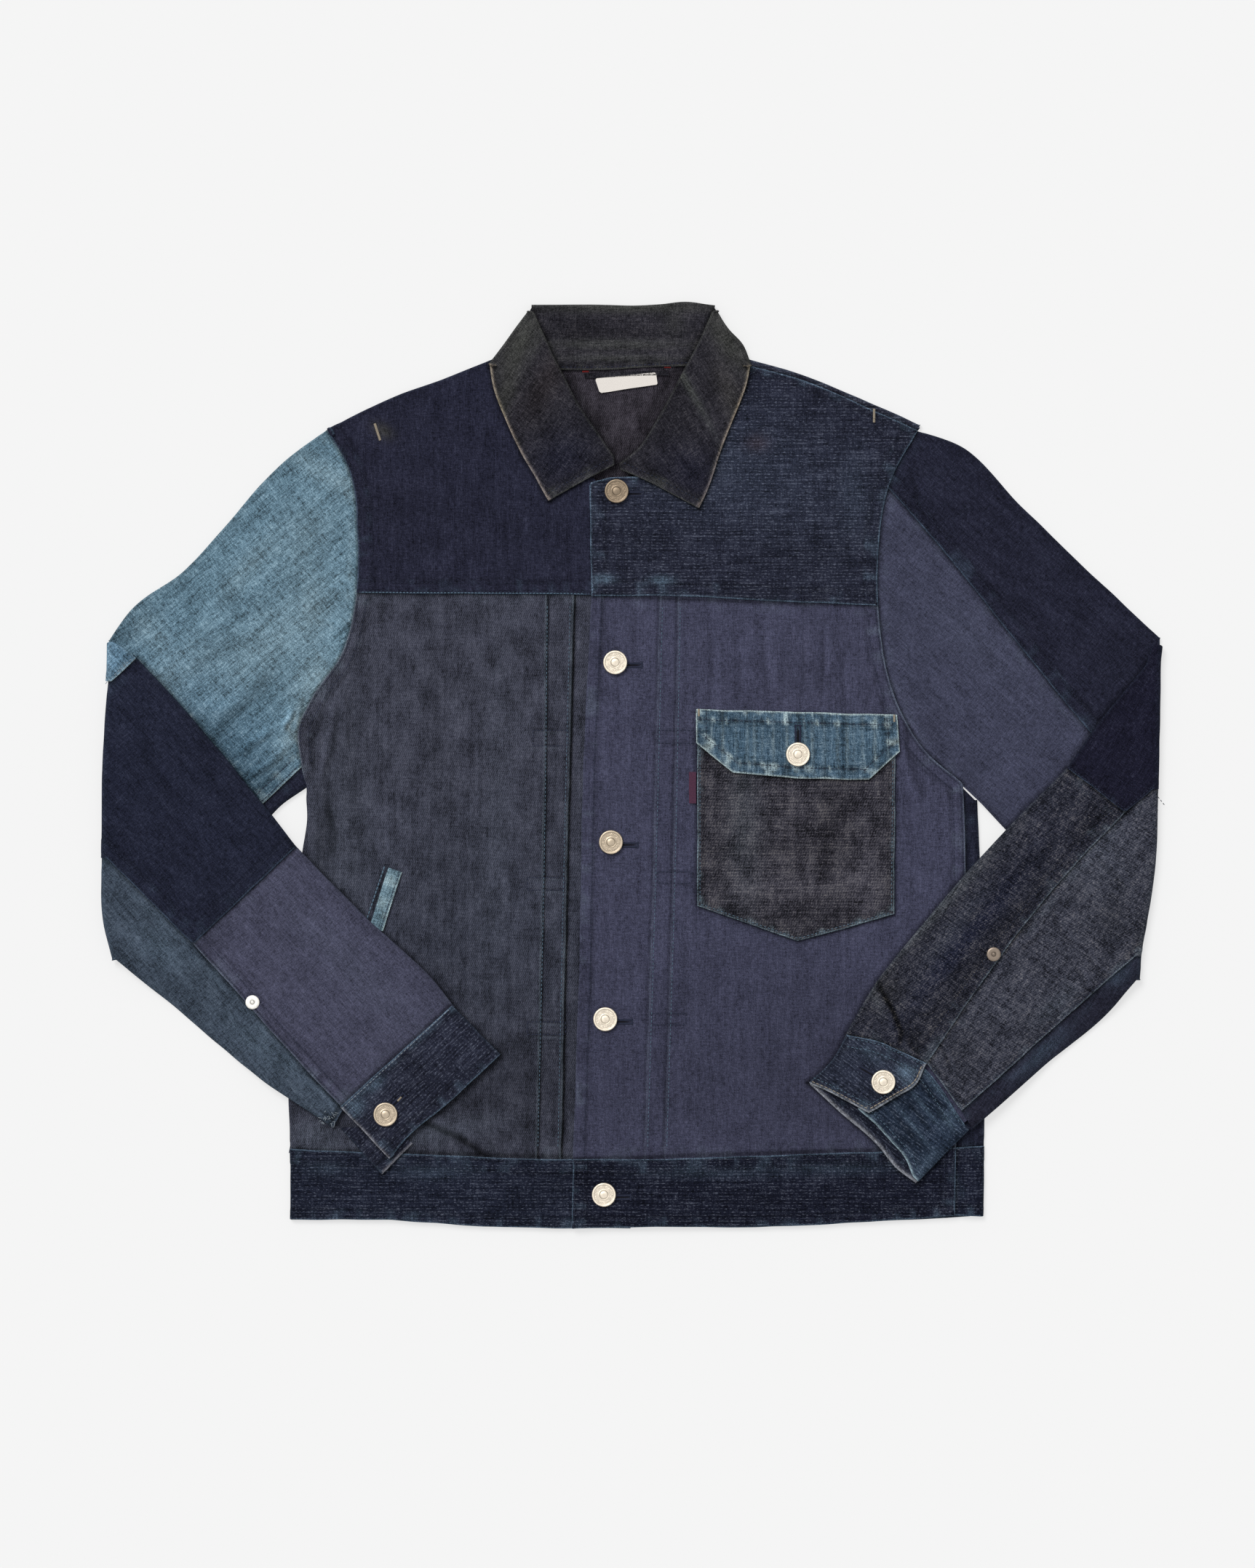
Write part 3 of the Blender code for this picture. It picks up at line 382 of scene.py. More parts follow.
# Drape creases of each layer: from, to, width, height, and how dark the painted shade in the groove
# beside its run is.
CREASES = {
    "body": (
        ((-160, -240), (-92, -281), 4.0, 1.8, 0.85), ((-219, -18), (-207, 46), 3.0, 1.0, 0.6),
        ((-226, 14), (-220, 38), 2.6, 0.8, 0.5), ((-212, -70), (-216, -20), 4.5, 0.9, 0.5),
        ((-200, 8), (-203, 56), 3.2, 0.6, 0.3), ((205, -32), (190, 32), 4.0, 0.8, 0.45),
        ((-184, -48), (-176, -74), 2.6, 0.6, 0.26), ((-176, -44), (-170, -72), 2.2, 0.5, 0.2),
        ((-196, -262), (-224, -244), 3.0, 0.8, 0.3), ((60, 96), (56, 38), 3.5, 0.5, 0.24),
        ((79, 84), (77, 38), 3.0, 0.5, 0.22), ((97, 100), (96, 38), 3.6, 0.5, 0.24),
        ((124, 88), (122, 38), 3.2, 0.5, 0.26), ((137, 98), (136, 38), 3.0, 0.5, 0.24),
        ((152, 86), (151, 37), 3.2, 0.5, 0.28), ((176, 70), (168, 34), 3.6, 0.6, 0.24),
        ((204, -262), (226, -232), 3.0, 0.7, 0.25),
    ),
    "arm_l": (
        ((199, 206), (205, 184), 3.4, 0.9, 0.4), ((205, 186), (214, 160), 3.0, 0.9, 0.34),
        ((190, 36), (218, -6), 4.5, 1.0, 0.26), ((218, -2), (238, -26), 3.5, 0.8, 0.26),
        ((204, 40), (230, 4), 5.0, 0.7, 0.14), ((262, 128), (300, 96), 7.0, 0.6, 0.12),
        ((300, 60), (336, 36), 7.0, 0.6, 0.14),
    ),
    "fore_l": (
        ((190, -192), (172, -151), 2.6, 1.8, 0.6), ((206, -208), (191, -194), 3.0, 1.0, 0.5),
        ((196, -172), (214, -176), 3.0, 0.8, 0.34), ((160, -168), (176, -176), 3.0, 0.7, 0.22),
        ((221, -153), (235, -137), 2.2, 0.7, 0.34), ((212, -160), (226, -150), 2.0, 0.6, 0.26),
        ((266, -124), (288, -108), 2.2, 0.7, 0.34), ((272, -132), (296, -114), 2.4, 0.6, 0.24),
        ((314, -142), (327, -162), 2.6, 0.8, 0.34), ((322, -132), (336, -152), 2.4, 0.7, 0.28),
        ((217, -188), (228, -222), 2.2, 0.9, 0.46), ((209, -198), (219, -222), 2.4, 0.8, 0.34),
        ((296, -100), (314, -130), 2.6, 0.7, 0.26), ((330, -60), (352, -92), 4.0, 0.7, 0.22),
        ((270, -80), (300, -44), 6.0, 0.7, 0.24), ((232, -118), (258, -84), 5.0, 0.6, 0.2),
    ),
    "fore_r": (
        ((-207, -254), (-222, -244), 1.4, 0.9, 0.5), ((-200, -246), (-240, -212), 3.5, 0.8, 0.3),
        ((-262, -172), (-226, -206), 4.0, 0.6, 0.16), ((-186, -120), (-196, -160), 5.0, 0.5, 0.12),
        ((-344, 30), (-320, -30), 8.0, 0.6, 0.14), ((-352, -90), (-320, -130), 6.0, 0.6, 0.18),
    ),
    "arm_r": (
        ((-245, 22), (-238, 40), 2.6, 1.0, 0.7), ((-277, 4), (-252, 27), 3.0, 0.7, 0.44),
        ((-269, -11), (-240, 14), 3.2, 0.8, 0.48), ((-300, 30), (-250, 66), 7.0, 0.6, 0.24),
        ((-318, 2), (-272, 44), 6.0, 0.6, 0.2), ((-226, 84), (-212, 70), 2.2, 0.7, 0.3),
        ((-222, 104), (-206, 96), 2.0, 0.6, 0.26), ((-214, 124), (-200, 122), 1.8, 0.6, 0.24),
        ((-360, 84), (-330, 60), 5.0, 0.6, 0.2),
    ),
    "collar": (
        ((44, 318), (50, 300), 3.0, 0.6, 0.22), ((-40, 294), (34, 296), 2.6, 0.5, 0.26),
        ((-44, 286), (30, 287), 2.2, 0.4, 0.24),
    ),
}
LONG_WAVE, SHORT_WAVE, LUMP = 0.36, 0.22, 0.09    # heights in mm
CREASE_END = 0.22     # a crease runs out over this part of its length at each end


def relief(layer, x, y):
    """How the laid-out cloth stands off its even height: long waves, small lumps and creases.  Second,
    its tone, with painted light to go with them: a painted highlight where the cloth stands up and on
    the creases' backs, painted shade where it sinks and in their grooves, and some random tone."""
    if layer == "none":
        return np.zeros_like(x), np.ones_like(x)
    long, short = noise(x, y, 74, 1), noise(x, y, 27, 2)
    lump = noise(x, y, 9, 3)
    height = LONG_WAVE * long + SHORT_WAVE * short + LUMP * lump
    # painted highlight where the short waves and lumps stand up, painted shade where they sink; the last
    # noise is tone that differs at random
    tone_and_relief_shade = 1.0 + 0.05 * short + 0.05 * lump + 0.04 * noise(x, y, 5, 4)
    for first, last, width, rise, groove in CREASES.get(layer, ()):
        a, run = np.array(first, float), np.array(last, float) - first
        t = ((x - a[0]) * run[0] + (y - a[1]) * run[1]) / (run @ run)
        far = ((x - a[0]) * run[1] - (y - a[1]) * run[0]) / np.linalg.norm(run)
        far = far + 0.35 * width * np.sin(7.0 * t + a[0])    # a crease winds a little
        ends = ease(t / CREASE_END) * ease((1.0 - t) / CREASE_END)
        back = bell((far + 0.6 * width) / width)
        valley = bell((far - 0.5 * width) / (0.6 * width))
        height = height + rise * ends * (back - 0.6 * valley)
        # painted shade in the crease's groove and a painted highlight on its back
        tone_and_relief_shade = tone_and_relief_shade * (1.0 + groove * ends * (0.55 * back - valley))
    return height, tone_and_relief_shade


# ---- making cloth -----------------------------------------------------------------------------------
NEAR = (0.5, 1.1, 1.8, 2.7, 3.8, 5.2, 7.0, 8.6)    # the grid is finer this far from a side, seam or pleat
ROW_TRIM, ROW_ENDS, ROW_SAMPLES = 2.0, (0.02, 0.98), 200    # where rows of stitches end
UNDERLAP = 3.0        # cloth runs on this far under its neighbour where a seam covers it
ROW_WIDE, ROW_DIP, ROW_DARK = 0.6, 0.13, 0.36    # groove that a row of stitches pulls into the cloth, and the painted shade in it
WORN_WIDE, FRAYED_WIDE = 0.75, 1.2               # how far in an edge is worn bare, and frayed
SHADOW_WIDE, SHADOW_DARK = 1.9, 0.55             # painted shadow, a dark line beside what lies on a piece
FOLD_WIDE, FOLD_SHADOW = 0.6, 1.2                # a pressed line and the shadow beside it
SEAM_SHADE, SEAM_SHADE_WIDE = 0.22, 5.0          # a little painted shade near an edge that rolls or folds away
TUCK_SHADE, TUCK_WIDE = 0.62, 1.5                # shade where cloth runs on under its neighbour
DOUBLED_DROP, RIDGE_SHADE, RIDGE_WIDE = 1.6, 0.26, 1.2    # where doubled cloth drops to one layer, and the painted shade just past it
ROPE_SIZE, ROPE_HIGH = 5.5, 0.10                 # roping of a stitched edge: its lumps and their height
ROPE_WORN, ROPE_TUCKED, ROPE_DARK = 0.34, 0.10, 0.20      # wear on its lumps, and the dark between them
EDGE_SHIFT, EDGE_SHIFT_SIZE = 0.3, 17            # how far, and how often, edges wander


class Edge:
    """How a side of a piece is finished: its roll, how far it is moved in, its doubled cloth, stitching,
    how its very edge is worn, whether it is frayed to beige yarn, and how much it puckers."""
    def __init__(self, roll=None, inset=SEAM / 2, lift=0.0, reach=8.0, rows=(), worn=0.0, frayed=False,
                 pucker=1.0):
        self.roll, self.inset, self.lift, self.reach = roll, inset, lift, reach
        self.rows, self.worn, self.frayed, self.pucker = rows, worn, frayed, pucker


EDGES = {
    "floor": Edge((None, LIP, 10), worn=0.10),             # rolls down to the floor
    "tube": Edge((EDGE_RISE / 2, LIP, 10), worn=0.10),     # rolls round to its other wall
    "fold": Edge((None, 0.0, 10), worn=0.10),              # folds back on itself
    "butt": Edge(),
    "under": Edge(inset=-UNDERLAP, lift=-0.45, reach=4.0),      # runs on under its neighbour
    "lap": Edge((0.5, 1.5, 4), 0.5, 0.45, 3.4, (1.9,), 1.0),          # turned under, one row
    "fell": Edge((0.5, 1.5, 4), 0.5, 0.55, 9.0, (1.9, 7.9), 1.0),     # turned under, two rows
    "hem": Edge((0.6, 3.0, 5), 0.6, 0.35, 6.5, (5.0,), 1.0),          # free edge
    "mouth": Edge((0.75, 4.0, 6), 0.75, 0.3, 6.5, (5.0,), 0.2, True),       # frayed cuff edge
    "plain": Edge((0.5, 1.5, 4), 0.5, 0.35, 8.0, (7.9,), 0.12),            # turned under, little worn
    "turned": Edge((1.2, 2.0, 6)),
    "leaf_free": Edge((0.6, 3.0, 5), 0.6, 0.35, 2.2, (), 0.45, True),       # corded collar edge
    "leaf_side": Edge((2.2, 1.0, 8), worn=0.2),
    "leaf_roll": Edge((1.9, 1.0, 8), worn=0.3),
    "flush": Edge(None, SEAM / 2, 0.3, 3.4, (1.9,), 0.9),
    "flap": Edge((0.6, 3.0, 5), 0.6, 0.35, 8.2, (7.4,), 1.6, False, 3.0),   # free edge, much puckered
    "collar_top": Edge((None, 36.0, 10), worn=0.2),
    "cuff_fold": Edge((CUFF_RISE / 2, 8.0, 8), worn=0.1),
    "cuff_side": Edge((1.3, 3.0, 8), worn=0.15),
}
FRAYED = (13.0, 11.2, 6.8)    # beige of frayed edges, as a tone on the slub denim


# Outlines of what lies on a piece, and a few fold lines: a painted shadow darkens its cloth beside them.
SHADOWS = {
    "front_panel_right": ("lower_over_r", "cuff_mouth_r", ((-126, -170), (-92, -205))),
    "waistband_right": ("cuff_mouth_r", ((-176, -290), (-154, -268))),
    "front_panel_left": ("fore_over_l", "cuff_fold_l", "cuff_mouth_l", "cuff_rear_mouth_l",
                         ((47, 21), (47, -100), (118, -125), (186, -106), (187, 19))),
    "waistband_left": ("cuff_rear_mouth_l",),
    "front_yoke_right": ("leaf_free_r", "leaf_front_r"),
    "front_yoke_left": ("leaf_free_l", "leaf_front_l"),
    "back_yoke": ("leaf_roll_r", "leaf_roll_l"),
    "collar_back": ("leaf_roll_r", "leaf_roll_l"),
    "chest_pocket": (((46, 15), (72, -6), (118, -10), (168, -11), (190, 9)),),
    "sleeve_right_upper": ("elbow_over_r", ((-231.8, 46), (-233.6, 30)), ((-243, 27), (-236, 18))),
    "sleeve_left_forearm": (((174, -154), (179, -164), (185.5, -176), (191, -188), (189.5, -197)),
                            ((179, -164), (185.5, -176), (191, -188), (190, -194))),
    "sleeve_left_over": ("elbow_over_l",),
    "sleeve_left_front": ("elbow_over_l", "fore_over_l"),
    "cuff_left_button_end": ("cuff_lap_l",),
    "cuff_right_underlap": (((-205, -242), (-170, -279)),),
}


def steps(length, pitch, marks=()):
    """Fractions along a side: every pitch, and closer together near its ends and the marks."""
    near = [0.0] + [n for n in NEAR if n < length / 2 - 0.3]
    places = near + [length - n for n in near]
    places += [m + sign * n for m in marks for n in near[:5] for sign in (-1, 1)]
    places = sorted(p for p in places if -0.01 < p < length + 0.01)
    filled = [places[0]]
    for place in places[1:]:
        gap = place - filled[-1]
        if gap < 0.35:
            continue
        start, count = filled[-1], max(1, int(round(gap / pitch)))
        filled += [start + gap * k / count for k in range(1, count + 1)]
    filled[-1] = length
    return np.array(filled) / length


def rungs(steps_in, rolls):
    """Rungs of a grid in one direction: fraction, roll angle, lip length and side of each."""
    rows = [(f, 0.0, 0.0, 0) for f in steps_in]
    for side, roll in zip((-1, 1), rolls):
        if roll is None:
            continue
        end = 0.0 if side < 0 else 1.0
        _, lip, turns = roll
        turn = [(end, pi * k / turns, 0.0, side) for k in range(1, turns + 1)]
        if lip:
            turn += [(end, pi, lip * k / 2, side) for k in (1, 2)]
        rows = turn[::-1] + rows if side < 0 else rows + turn
    return [np.array(column) for column in zip(*rows)]


def measure(line):
    """Length of a sampled line."""
    return np.linalg.norm(np.diff(line, axis=0), axis=1).sum()


built = {}      # name: points in mm and their search tree


def cloth(name, denim, sides, rise, edges="butt butt butt butt", grain=90.0, tint=1.0, insets=None,
          pitch=1.8, follow=(), layer="body", fades_and_light_of=None, worn=1.0, thread="indigo", rests=(), held="laid",
          down=False, folds=(), seam=None, wrap=None):
    """A cut piece inside four sides (top, right, bottom, left), as fine cloth that stands for its CAD
    solid.  Its face is at rise(x, y), and shows from below where down is set.
    """
    kinds = [EDGES[kind] for kind in edges.split()]
    sides = [drawn(side) for side in sides]
    insets = insets or {}
    inner = []
    for side_name, side, kind in zip(SIDES, sides, kinds):
        inset = kind.inset
        if kind.roll:
            inset = kind.roll[0] or float(rise(side[:, 0], side[:, 1]).mean()) / 2
        inner.append(insets.get(side_name, inset))
    outer = list(sides)
    normals = [outward(side, side_name) for side, side_name in zip(sides, SIDES)]
    if seam is not None:
        outer[3] = seam
    sides = inset_sides(sides, inner)
    wide, tall = (measure(sides[0]) + measure(sides[2])) / 2, (measure(sides[1]) + measure(sides[3])) / 2
    middle = (at(sides[3], np.array([0.5]))[0], at(sides[1], np.array([0.5]))[0])
    marks = []
    for line, shift in follow:
        there = line_x(line, middle[0][1]) + shift
        marks.append(float((there - middle[0][0]) / (middle[1][0] - middle[0][0])) * wide)
    u, au, lu, su = rungs(steps(wide, pitch, marks), (kinds[3].roll, kinds[1].roll))
    v, av, lv, sv = rungs(steps(tall, pitch), (kinds[0].roll, kinds[2].roll))
    base = span(sides, u, v)
    if follow:
        knots, shifts = [0.0], [np.zeros(len(v))]
        for (line, shift), mark in zip(follow, marks):
            j = int(np.argmin(np.abs(u - mark / wide)))
            knots.append(u[j])
            shifts.append(line_x(line, base[:, j, 1]) + shift - base[:, j, 0])
        knots.append(1.0)
        shifts.append(np.zeros(len(v)))
        shifts = np.array(shifts)
        for i in range(len(v)):
            base[i, :, 0] += np.interp(u, knots, shifts[:, i])
    x, y = base[..., 0], base[..., 1]
    top = rise(x, y)
    wave, tone_and_relief_shade = relief(layer, x, y)
    wear = np.zeros_like(top)
    # the paint's colour starts from the relief's random tone and its painted shade and highlights
    shade = np.ones((*top.shape, 3)) * tone_and_relief_shade[..., None]
    frayed = np.zeros_like(top)
    face = (av == 0)[:, None] & (au == 0)[None]
    for k, (kind, line) in enumerate(zip(kinds, outer)):
        if kind.lift == 0.0 and kind.worn == 0.0:
            continue
        gap, along = gap_to(line, x, y)
        seed = sum(map(ord, name)) + 7 * k
        if kind.lift == 0.0:
            # a little painted shade near an edge that rolls or folds away
            shade = shade * (1.0 - SEAM_SHADE * bell(gap / SEAM_SHADE_WIDE))[..., None]
            continue
        if kind.lift < 0:
            wave = wave + kind.lift * (1.0 - ease((gap - UNDERLAP) / kind.reach))
            tucked = bell(np.maximum(gap - 0.3, 0.0) / TUCK_WIDE)
            shade = shade * (1.0 - TUCK_SHADE * tucked)[..., None]
            rope = np.maximum(noise(along, gap, 6.5, seed), 0.0) * ease((9.0 - gap) / 4.0)
            wear = wear + ROPE_TUCKED * rope
            continue
        near = 1.0 - ease((gap - kind.reach) / DOUBLED_DROP)
        rope = noise(along, gap * 0.4, ROPE_SIZE / np.sqrt(kind.pucker), seed)
        wave = wave + near * (kind.lift + ROPE_HIGH * kind.pucker * rope)
        for row in kind.rows:
            wave = wave - ROW_DIP * bell((gap - row) / ROW_WIDE)
        line_worn = 0.60 + 0.40 * noise(along, 0 * gap, 9.0, seed + 3)
        wear = wear + kind.worn * line_worn * bell(gap / WORN_WIDE) * face
        wear = wear + ROPE_WORN * kind.pucker * near * np.maximum(rope - 0.2, 0.0) * (gap > 0.8)
        # painted shade just past the doubled cloth; darker between the rope's lumps
        dark = RIDGE_SHADE * bell((gap - kind.reach - RIDGE_WIDE) / RIDGE_WIDE)
        dark = dark + ROPE_DARK * kind.pucker * near * np.maximum(-rope, 0.0)
        # painted shade in the grooves of the stitch rows
        for row in kind.rows:
            dark = dark + ROW_DARK * bell((gap - row) / ROW_WIDE)
        shade = shade * (1.0 - dark)[..., None]
        if kind.frayed:
            frayed = np.maximum(frayed, (0.5 + 0.6 * line_worn) * bell(gap / FRAYED_WIDE) * face)
    # painted shadow beside what lies on the piece and beside a few fold lines
    for line in SHADOWS.get(name, ()):
        gap, _ = gap_to(drawn(line), x, y)
        shade = shade * (1.0 - SHADOW_DARK * bell(gap / SHADOW_WIDE))[..., None]
    # a pressed line: yarn worn bare on it, and a painted shadow beside it
    for line, shift, bare, dark, facing in folds:
        off = x - line_x(line, y) - shift
        broken = 0.7 + 0.3 * noise(y, 0 * y, 7.0, int(shift * 3) + 5)
        wear = wear + bare * broken * bell(off / FOLD_WIDE)
        shade = shade * (1.0 - dark * bell((off * facing - 1.4) / FOLD_SHADOW))[..., None]
    if down:
        top = top + 0.8 * (1.0 - wave)
        top = top - np.minimum(top.min(), 0.0)
    else:
        top = top + wave
    ru, rv, nu, nv = np.ones_like(top), np.ones_like(top), np.zeros_like(base), np.zeros_like(base)
    for sign, k in ((-1, 3), (1, 1)):
        if kinds[k].roll:
            here = (su == sign)[None, :]
            ru = np.where(here, kinds[k].roll[0] or top / 2, ru)
            nu = np.where(here[..., None], at(normals[k], v)[:, None], nu)
    if wrap is not None:
        ru = np.where((su < 0)[None, :], ru + (top / 2 - ru) * ease((wrap - y) / 12.0), ru)
    for sign, k in ((-1, 0), (1, 2)):
        if kinds[k].roll:
            here = (sv == sign)[:, None]
            rv = np.where(here, kinds[k].roll[0] or top / 2, rv)
            nv = np.where(here[..., None], at(normals[k], u)[None], nv)
    av, au, lv, lu = av[:, None], au[None], lv[:, None], lu[None]
    depth = rv * (1 - np.cos(av))
    place = base + nv * (rv * np.sin(av) - lv)[..., None]
    place = place + nu * ((ru - depth) * np.sin(au) - lu)[..., None]
    depth = np.where(au > 0, ru - (ru - depth) * np.cos(au), depth)
    height = top + depth if down else top - depth
    unrolled = base + nv * (rv * av + lv)[..., None] + nu * (ru * au + lu)[..., None]
    for k, (kind, angle, lip) in enumerate(((kinds[3], au * (su[None] < 0), lu),
                                            (kinds[1], au * (su[None] > 0), lu),
                                            (kinds[0], av * (sv[:, None] < 0), lv),
                                            (kinds[2], av * (sv[:, None] > 0), lv))):
        if kind.roll and kind.worn:
            bare = np.sqrt(np.clip(np.sin(angle), 0.0, 1.0)) * (angle > 0)
            if k == 0 and wrap is not None:
                bare = bare * ease((y - wrap) / 6.0)
            wear = wear + kind.worn * 0.8 * bare
            if kind.frayed:
                frayed = np.maximum(frayed, 0.9 * (angle > 0) * bell(lip / FRAYED_WIDE))
    shade = shade * (1.0 - 0.3 * frayed[..., None]) + frayed[..., None] * np.array(FRAYED)
    wander = [noise(x, y, EDGE_SHIFT_SIZE, seed) for seed in (21, 22)]
    place = place + EDGE_SHIFT * np.stack(wander, axis=-1)
    # fades, stains and wear, with some painted shade and painted highlights
    for fx, fy, wide_by, tall_by, angle, tint_by, *bare in FADES_AND_PAINTED_LIGHT.get(fades_and_light_of or name, ()):
        c, s = cos(radians(angle)), sin(radians(angle))
        along, across = (x - fx) * c + (y - fy) * s, (y - fy) * c - (x - fx) * s
        patch = np.exp(-(along / wide_by) ** 2 - (across / tall_by) ** 2)
        wear = wear + sum(bare) * patch
        shade = shade * (1.0 + (np.broadcast_to(np.array(tint_by, float), (3,)) - 1.0) * patch[..., None])
    shade = shade * np.broadcast_to(np.array(tint, float), (3,))
    paint = np.concatenate([shade, np.clip(worn * wear, 0.0, 1.0)[..., None]], axis=-1)
    c, s = cos(radians(grain - 90.0)), sin(radians(grain - 90.0))
    uv = np.stack([unrolled[..., 0] * c + unrolled[..., 1] * s,
                   unrolled[..., 1] * c - unrolled[..., 0] * s], axis=-1) * MM
    points = np.concatenate([place, np.maximum(height, 0.0)[..., None]], axis=-1)
    piece = grid_piece("cloth_" + name, points, MATERIALS[denim], uv, paint, down)
    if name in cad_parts:
        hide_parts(name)
    declare(unrolled)
    flat_points = points.reshape(-1, 3)
    tree = KDTree(len(flat_points))
    for index, point in enumerate(flat_points):
        tree.insert(point, index)
    tree.balance()
    built[name] = (flat_points, tree)
    if not down:
        for side_name, side, kind in zip(SIDES, outer, kinds):
            for row in kind.rows:
                stitch_row(name, thread, inside(side, side_name, row))


def inside(side, side_name, offset):
    """A line beside a side of a piece, moved in by offset and shortened at both ends."""
    line = spread(side - outward(side, side_name) * offset)
    trim = ROW_TRIM / measure(line)
    return spread(at(line, np.linspace(trim, 1.0 - trim, ROW_SAMPLES)))


def add_piece(name, places, faces, material, uv=None, paint=None):
    """A smooth mesh of places in metres, riding on the root."""
    mesh = bpy.data.meshes.new(name)
    mesh.from_pydata(places.reshape(-1, 3).tolist(), [], faces)
    if uv is not None:
        mesh.uv_layers.new(name="weave").data.foreach_set("uv", uv.ravel())
    if paint is not None:
        colours = mesh.color_attributes.new("paint", "FLOAT_COLOR", "POINT").data
        colours.foreach_set("color", paint.reshape(-1).astype(np.float32))
    mesh.shade_smooth()
    mesh.materials.append(material)
    piece = bpy.data.objects.new(name, mesh)
    bpy.context.scene.collection.objects.link(piece)
    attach(piece, "root")
    return piece


def grid_piece(name, points, material, uv, paint, flip=False):
    """A grid of points in mm as a piece with its weave coordinates and its paint."""
    rows, cols = points.shape[:2]
    a = (np.arange(rows - 1)[:, None] * cols + np.arange(cols - 1)[None]).ravel()
    quads = np.stack([a, a + cols, a + cols + 1, a + 1], axis=1)
    if flip:
        quads = quads[:, ::-1]
    return add_piece(name, points * MM, quads.tolist(), material, uv.reshape(-1, 2)[quads.ravel()], paint)


# no side under 10 mm can be declared: the tab and the hanger loop are narrower
LEAST_SHEET = 10.5    # the box round a cloth gets no side under this: the tab and the hanger loop are narrower


def declare(unrolled):
    """Works out the smallest box round this cloth laid out flat, with no side under LEAST_SHEET; nothing
    uses it.
    """
    places = unrolled.reshape(-1, 2)
    best = None
    for angle in np.radians(np.arange(0, 90, 3)):
        turn = np.array([[np.cos(angle), -np.sin(angle)], [np.sin(angle), np.cos(angle)]])
        size = np.ptp(places @ turn, axis=0)
        if best is None or size.prod() < best.prod():
            best = size
    best = np.maximum(best, LEAST_SHEET)


# ---- stitching --------------------------------------------------------------------------------------
THREADS = {"indigo": (0.024, 0.029, 0.056), "blue": (0.10, 0.16, 0.22), "pale": (0.26, 0.30, 0.34),
           "beige": (0.36, 0.31, 0.24), "red": (0.28, 0.03, 0.03)}
sewn = {name: [] for name in THREADS}    # ends of the stitches of each thread, in mm, with their width


def on_cloth(name, places):
    """Heights of a built piece's upper face at places."""
    points, tree = built[name]
    heights = []
    for x, y in places:
        _, index, _ = tree.find((x, y, 40.0))
        near = [points[i][2] for _, i, _ in tree.find_n((x, y, points[index][2]), 3)]
        heights.append(max(near))
    return np.array(heights)


def stitch_row(name, thread, line, pitch=2.9, width=0.5, filled=0.74):
    """A row of stitches along a sampled line on a built piece."""
    length = measure(line)
    count = max(2, int(length / pitch))
    starts = np.arange(count) / count
    a, b = at(line, starts), at(line, np.minimum(starts + filled / count, 1.0))
    za, zb = on_cloth(name, a), on_cloth(name, b)
    for p, q, zp, zq in zip(a, b, za, zb):
        sewn[thread].append(((p[0], p[1], zp), (q[0], q[1], zq), width))


def sew_all():
    """The stitches of each thread as one object of small plump strokes."""
    for thread, strokes in sewn.items():
        if not strokes:
            continue
        points, faces = [], []
        for p, q, width in strokes:
            p, q = np.array(p), np.array(q)
            run = q - p
            length = max(np.linalg.norm(run), 1e-6)
            run = run / length
            side = np.cross((0, 0, 1), run)
            side = side / max(np.linalg.norm(side), 1e-6)
            up = np.cross(run, side)
            start = len(points)
            points.append(p - up * 0.05)
            for f in (0.22, 0.78):
                middle = p + run * length * f
                for c, s in ((1, 0), (0, 1), (-1, 0), (0, -0.6)):
                    points.append(middle + (side * c + up * s) * width / 2)
            points.append(q - up * 0.05)
            for k in range(4):
                n = (k + 1) % 4
                faces.append((start, start + 1 + k, start + 1 + n))
                faces.append((start + 1 + k, start + 5 + k, start + 5 + n, start + 1 + n))
                faces.append((start + 9, start + 5 + n, start + 5 + k))
        add_piece("thread_" + thread, np.array(points) * MM, [f[::-1] for f in faces],
                  thread_material(thread))


BAR_RISE, BAR_THREAD = 0.12, 0.62     # a bar's stitches lie this high, and are this thick
HOLE_LONG, HOLE_ROWS = 20.0, 9         # a buttonhole's length, and the rows of its slit


def bar(name, thread, centre, angle, length, width, pitch=0.55):
    """A bartack or one side of a buttonhole: short stitches side by side across a line."""
    c, s = cos(radians(angle)), sin(radians(angle))
    centre = np.array(centre, float)
    count = max(2, int(length / pitch))
    for k in range(count + 1):
        middle = centre + np.array([c, s]) * (k / count - 0.5) * length
        side = np.array([-s, c]) * width / 2
        a, b = middle - side, middle + side
        z = on_cloth(name, [middle])[0] + BAR_RISE
        sewn[thread].append(((*a, z), (*b, z), BAR_THREAD))


def buttonhole(number, name, centre, angle, gape=0.9):
    """A keyhole buttonhole: two rows of wrapped stitches, a bar at each end and, between them, a dark sheet
    of painted shade in the slit.
    """
    c, s = cos(radians(angle)), sin(radians(angle))
    centre = np.array(centre, float)
    for side in (-1, 1):
        bar(name, "indigo", centre + side * np.array([-s, c]) * (gape / 2 + 0.85), angle, HOLE_LONG, 1.7)
    for end in (-1, 1):
        bar(name, "indigo", centre + end * np.array([c, s]) * (HOLE_LONG / 2 + 0.5), angle + 90, 4.2, 1.3)
    rows = []
    for k in range(HOLE_ROWS):
        f = k / (HOLE_ROWS - 1) - 0.5
        half = gape / 2 * (1.0 - (2 * abs(f)) ** 4) + 0.05
        middle = centre + np.array([c, s]) * f * (HOLE_LONG - 0.6)
        rows.append([middle + np.array([-s, c]) * half * t for t in (-1, 1)])
    places = np.array(rows)
    z = on_cloth(name, places.reshape(-1, 2)).reshape(HOLE_ROWS, 2) + 0.1
    # a near-black sheet in the slit: painted shade
    grid_piece("buttonhole_%d" % number, np.concatenate([places, z[..., None]], axis=-1)[::-1],
               MATERIALS["slit_shade"], np.zeros((HOLE_ROWS, 2, 2)), np.ones((HOLE_ROWS, 2, 4)))


